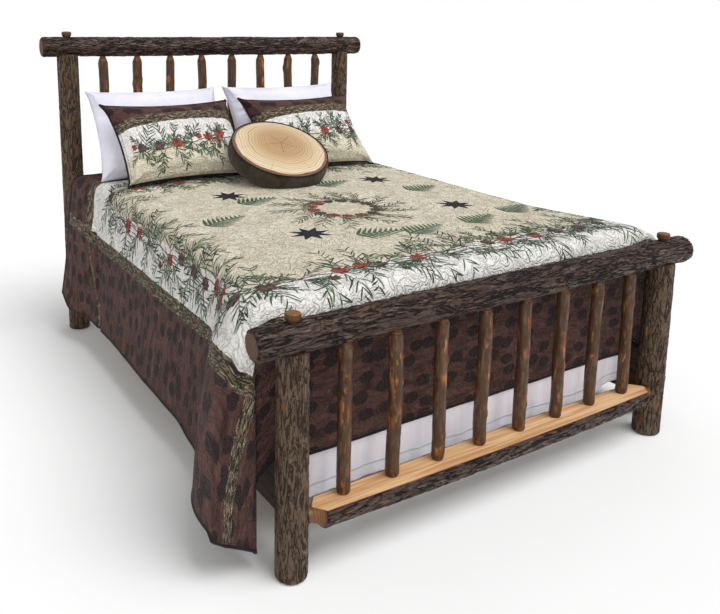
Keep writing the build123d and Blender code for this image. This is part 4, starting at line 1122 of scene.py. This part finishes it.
def make_quilt():
    """The quilt's face with its lining, binding, motifs and stitches."""
    lining_depth, binding_depth = 0.0065, 0.0033
    points, cloth = make_quilt_grid()
    (rows, columns), normals = points.shape[:2], grid_normals(points)
    parts = ("top", "foot_drop", "left_drop", "right_drop", "left_corner", "right_corner")
    face = add_piece("quilt_face", points.reshape(-1, 3), grid_faces(rows, columns), [quilt_print],
                     cloth=cloth, stands_for=[f"quilt_{part}" for part in parts])
    keep_r, keep_c = np.unique(np.r_[0:rows:2, rows - 1]), np.unique(np.r_[0:columns:2, columns - 1])
    inner = (points - normals * lining_depth)[np.ix_(keep_r, keep_c)]
    lining = add_piece("quilt_lining", inner.reshape(-1, 3), grid_faces(len(keep_r), len(keep_c))[:, ::-1],
                       [quilt_back])
    binding = add_cord("quilt_binding", grid_ring(points - normals * binding_depth), cord_radius,
                       binding_black)

    draw = np.random.default_rng(5)
    motifs = Motifs(points, normals, cloth)
    for side in (-1, 1):
        garland(motifs, draw, [(side * 0.850, y) for y in np.linspace(-0.86, 0.58, 12)])
    for y in (-0.870, 0.600):
        garland(motifs, draw, [(x, y) for x in np.linspace(-0.80, 0.80, 12)])
    middle, reach = (-0.03, -0.20), 0.135
    for k in range(14):
        a = 2 * pi * k / 14
        for turn, size in ((0.5, 0.16), (1.5, 0.10)):
            leaf_spray(motifs, draw, *away(*middle, a, reach), a + turn, size)
        berry_cluster(motifs, draw, middle[0] + math.cos(a + 0.2) * reach,
                      middle[1] + math.sin(a + 0.2) * reach * 0.95, 0.024 if k % 2 else 0.030)
    for x, y in ((-0.36, -0.46), (0.44, -0.36), (-0.36, 0.22), (0.44, 0.22)):
        star_patch(motifs, x, y)
    for x, y, way in ((-0.64, -0.16, 0.3), (-0.38, 0.08, 0.1), (-0.04, -0.64, 0.25), (0.44, -0.04, 0.2),
                      (0.26, -0.62, 0.3), (0.10, 0.22, 0.15), (-0.22, -0.56, -0.2), (0.54, -0.56, 0.4)):
        fern_sprig(motifs, x, y, way)
    print_piece = motifs.lay("quilt_motifs")
    lifted = points + normals * thread_lift
    seam = np.concatenate([lifted[1, 1:-2], lifted[1:-2, -2], lifted[-2, -2:1:-1], lifted[-2:1:-1, 1]])
    stitches = add_stitches("quilt_stitches", [seam], thread_dark, "quilt_cotton", Spacing=0.009,
                            Length=0.0055, Radius=0.0007, Seed=3)


make_quilt()


# ------------------------------------------------------------------ bed skirt
def make_skirt():
    """White skirt panels with a hem line and soft pleats, hung from the deck."""
    hems, top, cell, rows = [], 0.443, 0.010, 50
    hem_row, hem_share = 42, 0.86

    def panel(name, start, end, out, hem, lift=0.0):
        start, end, out = np.array((*start, 0.0)), np.array((*end, 0.0)), np.array(out)
        length = np.linalg.norm(end - start)
        s, f = np.meshgrid(np.linspace(0, length, int(length / cell) + 1), np.linspace(0, 1, rows))
        pleat = (0.0042 * np.sin(s / 0.147 * 2 * pi + 0.8) + 0.0022 * np.sin(s / 0.061 * 2 * pi)
                 + 0.004 * layered(s / 0.2, f * 0.7, 0.4, 91, 2)) * (0.25 + 0.75 * f)
        bottom = hem + lift * ease((s - 1.30) / 0.06) + 0.018 * layered(s / 0.18 + 3, 0.1, 0.5, 93, 2)
        place = start + (end - start) * (s / length)[..., None] + out * pleat[..., None]
        place[..., 2] = top + (bottom - top) * f
        piece = add_piece(f"{name}_panel", place.reshape(-1, 3), grid_faces(*s.shape), [skirt_white],
                          marks={"hem": np.abs(f - hem_share) < 0.012}, stands_for=(name,))
        hems.append(place[hem_row] + out * 0.0010)
        piece.modifiers.new("hem_thickness", "SOLIDIFY").thickness = 0.0012
        return piece, (length * 1.02, top - hem)

    low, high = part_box("skirt_foot")
    sheets = [panel("skirt_foot", (low[0], -1.0075), (high[0], -1.0075), (0, -0.6, 0), 0.165, 0.038)]
    for side, name in ((-1, "skirt_left"), (1, "skirt_right")):
        low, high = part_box(name)
        ends = [(side * 0.7645, y) for y in (low[1], high[1])][::side]
        sheets.append(panel(name, *ends, (side * 0.25, 0, 0), 0.226))
    stitches = add_stitches("skirt_stitches", hems, thread_pale, "skirt_cotton", closed=False, Spacing=0.008,
                            Length=0.0052, Radius=0.0006, Seed=5)


make_skirt()


# ------------------------------------------------------------------ pillows
solid_lean = 28.0       # how far the pillows' solids lean back, in degrees


def leaning(degrees):
    """Directions across, up along and out of the front of something that leans back."""
    up_y, up_z = math.sin(math.radians(degrees)), math.cos(math.radians(degrees))
    return np.array([(1.0, 0.0, 0.0), (0.0, up_y, up_z), (0.0, -up_z, up_y)])


def pillow_faces(width, height, thick, columns, rows, seed, pull, crease):
    """Front and back of a sewn pillow in local X, up and front, and their places on the flat cloth."""
    u, v = np.meshgrid(np.linspace(-1, 1, columns), np.linspace(-1, 1, rows))
    u, v = (np.sign(c) * (1 - (1 - np.abs(c)) ** 1.35) for c in (u, v))
    far_u, far_v = np.abs(u), np.abs(v)
    x = width / 2 * u * (1 - pull * (1 - v ** 2) * far_u ** 2.5)
    y = height / 2 * v * (1 - pull * 1.3 * (1 - u ** 2) * far_v ** 2.5)
    dome = ((1 - far_u ** 2.6) * (1 - far_v ** 2.6)).clip(0, 1) ** 0.42
    ring = np.maximum(far_u, far_v)
    tuck = np.exp(-((1 - ring) / 0.16)) * (1 - ring ** 12)
    along = np.where(far_u > far_v, v * height, u * width)
    diagonal = np.exp(-((far_u - far_v) / 0.25) ** 2) * ring ** 2 * (1 - ring ** 8)
    faces = []
    for side in (1, -1):
        pleats = layered(along / 0.035 + seed, ring * 1.5, side * 0.5, seed, 2)
        drape = layered(u * 1.6 + seed, v * 1.4, side * 1.7, seed + 4)
        bulge = thick / 2 * dome + dome ** 0.6 * crease * 1.6 * (drape + 2 * pleats * tuck) - diagonal * 0.006
        faces.append(np.stack([x, y, side * bulge], -1))
    return *faces, np.stack([u * width / 2, v * height / 2], -1)


def pillow_piece(name, centre, size, looks, seed, body, pull, crease, cap, shrink, lean=solid_lean,
                 shear=0.0):
    """A sewn pillow. pull draws its sides in, crease is the depth of its folds, and cap and shrink
    are for its filling. More lean swings it out about its top edge, shear slides the foot of it."""
    columns, rows, height = 92, 64, size[1]
    front, back, cloth = pillow_faces(*size, columns, rows, seed, pull, crease)
    axes = leaning(lean)
    middle = np.array(centre) + (leaning(solid_lean)[1] - axes[1]) * height / 2
    count, rim = rows * columns, np.ones((rows, columns), bool)
    rim[1:-1, 1:-1] = False
    index_back = np.where(rim, 0, count) + np.arange(count).reshape(rows, columns)
    front_faces = grid_faces(rows, columns)
    faces = np.vstack([front_faces, index_back.ravel()[front_faces][:, ::-1]])
    local = np.concatenate([front, back]).reshape(-1, 3)
    used = np.unique(faces)
    renumber = np.full(len(local), -1)
    renumber[used] = np.arange(len(used))
    points = middle + local @ axes
    points[:, 0] -= shear * local[:, 1] / height
    points = plump_cloth(points[used], renumber[faces], cap, shrink)
    rest = bed_height(points[:, 0], points[:, 1]) + 0.0022
    under = rest - points[:, 2]
    points[:, 2] = np.where(under > -0.010, rest + 0.005 * np.exp(-(under + 0.010) / 0.010), points[:, 2])
    face_look = [0] * len(front_faces) + [len(looks) - 1] * len(front_faces)
    piece = add_piece(f"{name}_cover", points, renumber[faces], looks, face_look,
                      cloth=np.concatenate([cloth, cloth]).reshape(-1, 2)[used], body=body,
                      stands_for=(name,))
    return points[renumber[:count]].reshape(rows, columns, 3), cloth


def make_pillows():
    for side, x, sham_x, seed in (("left", -0.4025, -0.385, 31), ("right", 0.3425, 0.345, 47)):
        pillow_piece(f"white_pillow_{side}", (x, 0.9013, 1.0271), (0.715, 0.492, 0.145), [pillow_white], seed,
                     "root", pull=0.060, crease=0.012, cap=0.012, shrink=-0.05)
        name = f"sham_{side}"
        grid, cloth = pillow_piece(name, (sham_x, 0.7190, 0.9943), (0.672, 0.450, 0.118),
                                   [sham_print, quilt_back], seed + 7, name, pull=0.070,
                                   crease=0.009, cap=0.016, shrink=-0.04, lean=33.0, shear=0.045)
        add_cord(f"{name}_piping", grid_ring(grid), cord_radius, binding_black, name)
        normals = grid_normals(grid)
        add_stitches(f"{name}_stitches", [grid_ring(grid + normals * thread_lift, 3)], thread_dark,
                     "sham_cotton", name, Spacing=0.008, Length=0.005, Radius=0.0006, Seed=7)
        motifs = Motifs(grid, normals, cloth)
        garland(motifs, np.random.default_rng(seed), [(s, -0.045 + 0.02 * math.sin(s * 9))
                for s in np.linspace(-0.25, 0.25, 9)], gap=0.085, size=0.105, bud=0.026)
        motifs.lay(f"{name}_motifs", name)


make_pillows()


# ------------------------------------------------------------------ round cushion
def make_cushion_face():
    """A sawn log end drawn on cloth: wavering rings, cracks from the pith and the rim, and a dark rim."""
    t = Look("cushion_rings")
    place, a, b = t.cloth_place()
    bent = (t.noise(place, 9.0, 2.0) - 0.5) * 0.05
    off_x, off_y = a - 0.012, b - 0.02
    reach = t.math("SQRT", off_x ** 2.0 + off_y ** 2.0)
    ring_place = reach + bent
    fine = t.math("FRACT", ring_place * 74.0)
    line = t.span(fine, 0.45, 0.92) * t.span(fine, 1.0, 0.94)
    band = t.noise(t.add("CombineXYZ", {0: ring_place, 1: 0.0, 2: 0.0}), 36.0, 2.0)
    ground = t.ramp(reach, (0.0, shade(170, 134, 92)), (0.10, shade(180, 146, 104)),
                    (0.16, shade(202, 178, 140)), (0.225, shade(218, 201, 168)))
    color = t.mix(line * t.span(band, 0.35, 0.65, 0.25, 0.75), ground, shade(134, 98, 62))
    angle = t.math("ARCTAN2", off_y, off_x)

    def cracks(count, waver, widths, ends):
        spoke = abs(t.math("FRACT", angle * (count / (2 * pi)) + bent * waver) - 0.5) * reach
        return t.span(spoke, *widths) * t.span(reach, *ends)

    check = t.math("MAXIMUM", cracks(5, 1.2, (0.0011, 0.0005), (0.095, 0.07)),
                   cracks(7, 2.0, (0.0007, 0.0003), (0.150, 0.175)))
    color = t.mix(check, color, shade(60, 38, 24))
    rim = t.span(t.math("SQRT", a ** 2.0 + b ** 2.0) + bent * 0.35, 0.210, 0.218)
    rim_tone = t.mix(t.noise(place, 60.0, 3.0), shade(40, 24, 20), shade(150, 78, 48))
    return woven(t, place, t.mix(rim * 0.9, color, rim_tone), t.bump(band, 0.001), sheen=0.3, rough=0.8)


def make_cushion():
    tilt, sides, face_rows = math.radians(26), 160, 18
    cover_scale = 1.03      # the cover stands a little proud of its solid
    top_tip, bottom_tip = 0.0602, -0.0586
    centre = np.array([0.008, 0.4243, 0.9411])
    axes = np.array([(1.0, 0.0, 0.0), (0.0, math.cos(tilt), math.sin(tilt)),
                     (0.0, -math.sin(tilt), math.cos(tilt))])
    turn = np.arange(sides) * 2 * pi / sides
    # radius, height pairs from the middle of the top to the middle of the bottom
    profile = np.array(
        [(r, 0.050 + 0.010 * (1 - (r / 0.225) ** 2)) for r in np.linspace(0.012, 0.205, 16)]
        + [(0.216, 0.0485), (0.2245, 0.0445), (0.2300, 0.0430), (0.2335, 0.0370), (0.2365, 0.0280),
           (0.2385, 0.016), (0.2395, 0.002), (0.2390, -0.012), (0.2365, -0.026), (0.2320, -0.038),
           (0.225, -0.047), (0.214, -0.053)]
        + [(r, -0.0545 - 0.004 * (1 - (r / 0.2) ** 2)) for r in np.linspace(0.198, 0.012, 10)])
    rows, (radius, height) = len(profile), profile.T
    gather = 0.5 + 0.5 * np.sin(turn * 46 + 2.0 * np.sin(turn * 5) + np.sin(turn * 9 + 1))
    round_size = cover_scale * (1 + 0.012 * layered(np.cos(turn) * 3, np.sin(turn) * 3, 0.2, 17, 2))
    seam = np.where(np.arange(rows) == face_rows, np.exp(-((height - 0.043) / 0.012) ** 2),
                    np.maximum(0.0, (height + 0.03) / 0.075)) * (np.arange(rows) >= face_rows)
    rings = turned_rings(centre, radius[:, None] * round_size - 0.0050 * seam[:, None] * gather, height, axes)
    points = np.vstack([rings.reshape(-1, 3), centre + axes[2] * top_tip, centre + axes[2] * bottom_tip])
    rest = bed_height(points[:, 0], points[:, 1]) + 0.002
    points[:, 2] = np.maximum(points[:, 2], rest)
    cloth = turned_rings(0, radius[:, None] * np.ones(sides), height)[..., :2].reshape(-1, 2)
    faces = [f[::-1] for f in barrel_faces(rows, sides)]
    looks = [0] * (face_rows * sides) + [1] * ((rows - 1 - face_rows) * sides) + [0, 1] * sides
    name = "round_cushion"
    piece = add_piece(f"{name}_cover", points, faces, [make_cushion_face(), cushion_side],
                      looks, cloth=np.vstack([cloth, np.zeros((2, 2))]), body=name,
                      stands_for=(name,))
    piping, stitch_line = (turned_rings(centre, r * round_size[None], [h], axes)[0]
                           for r, h in ((0.2305, 0.0440), (0.2200, 0.0475)))
    add_cord(f"{name}_piping", piping, 0.0028, binding_black, name)
    add_stitches(f"{name}_stitches", [stitch_line], thread_dark, "cushion_velvet", name, Spacing=0.009,
                 Length=0.005, Radius=0.0006, Seed=9)


make_cushion()


# ------------------------------------------------------------------ mattress and box spring
def soft_block(name, rolled, corner):
    """A sewn block: rounded plan, rolled edges, sides that bow out and a taped seam top and bottom."""
    bow, tape_inset, tape_radius = 0.0025, 0.0042, 0.004
    low, high = (np.array(c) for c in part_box(name))
    mid, half, height = (low + high) / 2, (high - low) / 2, high[2] - low[2]
    arcs = [[np.array((sx, sy)) * (half[:2] - corner) + corner * np.array((math.cos(a), math.sin(a)))
             for a in (k + np.linspace(0, 1, 9)) * pi / 2]
            for k, (sx, sy) in enumerate(((1, 1), (-1, 1), (-1, -1), (1, -1)))]
    outline = np.array([p for arc, after in zip(arcs, arcs[1:] + arcs[:1])
                        for p in (*arc, *np.linspace(arc[-1], after[0], 31)[1:-1])])

    def ring(scale, z):
        return np.column_stack([mid[:2] + outline * scale, np.full(len(outline), z)])

    roll = [(rolled * (1 - math.sin(a)), rolled * (1 - math.cos(a))) for a in np.linspace(0, pi / 2, 7)]
    levels = ([(inset, low[2] + up) for inset, up in roll]
              + [(0.0, low[2] + rolled + f * (height - 2 * rolled)) for f in np.linspace(0, 1, 14)[1:-1]]
              + [(inset, high[2] - down) for inset, down in roll[::-1]])
    reach = np.hypot(outline[:, 0], outline[:, 1]).max()
    scales = [1 - (inset + bow - bow * math.sin((z - low[2]) / height * pi)) / reach * 1.25
              for inset, z in levels]
    rows = ([ring(0.9 * k, low[2]) for k in (0.2, 0.5, 0.8)]
            + [ring(scale, z) for scale, (_, z) in zip(scales, levels)]
            + [ring(scales[-1] * k, high[2]) for k in (0.8, 0.5, 0.2)])
    points = np.vstack([*rows, (*mid[:2], low[2]), (*mid[:2], high[2])])
    piece = add_piece(f"{name}_cover", points, barrel_faces(len(rows), len(outline)), [ticking],
                      stands_for=(name,))
    for label, z in (("low", low[2] + rolled), ("high", high[2] - rolled)):
        add_cord(f"{name}_tape_{label}", ring(1 - tape_inset / half[1], z), tape_radius, ticking)


soft_block("mattress", 0.045, 0.070)
soft_block("box_spring", 0.018, 0.040)


# ------------------------------------------------------------------ CAD pieces that stay
def metal_look():
    t = Look("zinc_steel")
    place = t.object_place()
    spangle = t.add("TexVoronoi", {"Vector": place, "Scale": 160.0})["Distance"]
    scratch = t.noise(t.scaled(place, (20.0, 200.0, 200.0)), 1.0, 3.0)
    return t.shaded(Metallic=1.0, Base_Color=t.mix(spangle, shade(150, 152, 156), shade(186, 188, 190)),
                    Roughness=t.span(scratch, 0.3, 0.7, 0.32, 0.5), Normal=t.bump(scratch, 0.0001))


def glide_look():
    t = Look("glide_plastic")
    place = t.object_place()
    grit, tone = t.noise(place, 400.0, 2.0), t.noise(place, 20.0, 3.0)
    return t.shaded(Base_Color=t.mix(tone, shade(30, 30, 31), shade(46, 46, 46)),
                    Roughness=t.span(grit, 0.3, 0.7, 0.42, 0.6), Normal=t.bump(grit, 0.0002))


kept = {"stained_board": stained_board, "sawn_pine": sawn_pine, "zinc_steel": metal_look(),
        "glide_plastic": glide_look(), "skirt_cotton": skirt_white}
for part in frame["record"]["subparts"]:
    look = kept.get(part["material_slot"])
    if look and part["node"] not in ("skirt_left", "skirt_right", "skirt_foot"):
        materials = frame["nodes"][part["node"]].data.materials
        if not materials:
            materials.append(look)
        for k in range(len(materials)):
            materials[k] = look


# ------------------------------------------------------------------ floor, sky and lamps
def make_stage():
    bpy.ops.mesh.primitive_plane_add(size=60)
    floor = bpy.context.object
    floor.name = "floor"
    t = Look("floor_paint")
    grit = t.noise(t.object_place(), 3.0, 2.0)
    paint = t.mix(grit, (0.86, 0.86, 0.86, 1.0), (0.88, 0.88, 0.88, 1.0))
    floor.data.materials.append(t.shaded(Roughness=0.95, Specular_IOR_Level=0.1, Base_Color=paint))
    scene.world = bpy.data.worlds.new("studio")
    scene.world.use_nodes = True
    sky = Tree(scene.world.node_tree)
    backdrop, sky_light = sky.tree.nodes["Background"], 0.50
    sky.put(backdrop.inputs["Color"], (1.0, 1.0, 1.0, 1.0))
    sky.put(backdrop.inputs["Strength"],
            sky.math("MAXIMUM", sky.add("LightPath")["Is Camera Ray"], sky_light))
    sun_lamp("key", (0.30, -0.50, 1.0), 2.2, 42)
    sun_lamp("fill", (-1.0, -1.3, 0.75), 0.75, 34)
    scene.view_settings.view_transform = "Standard"


make_stage()
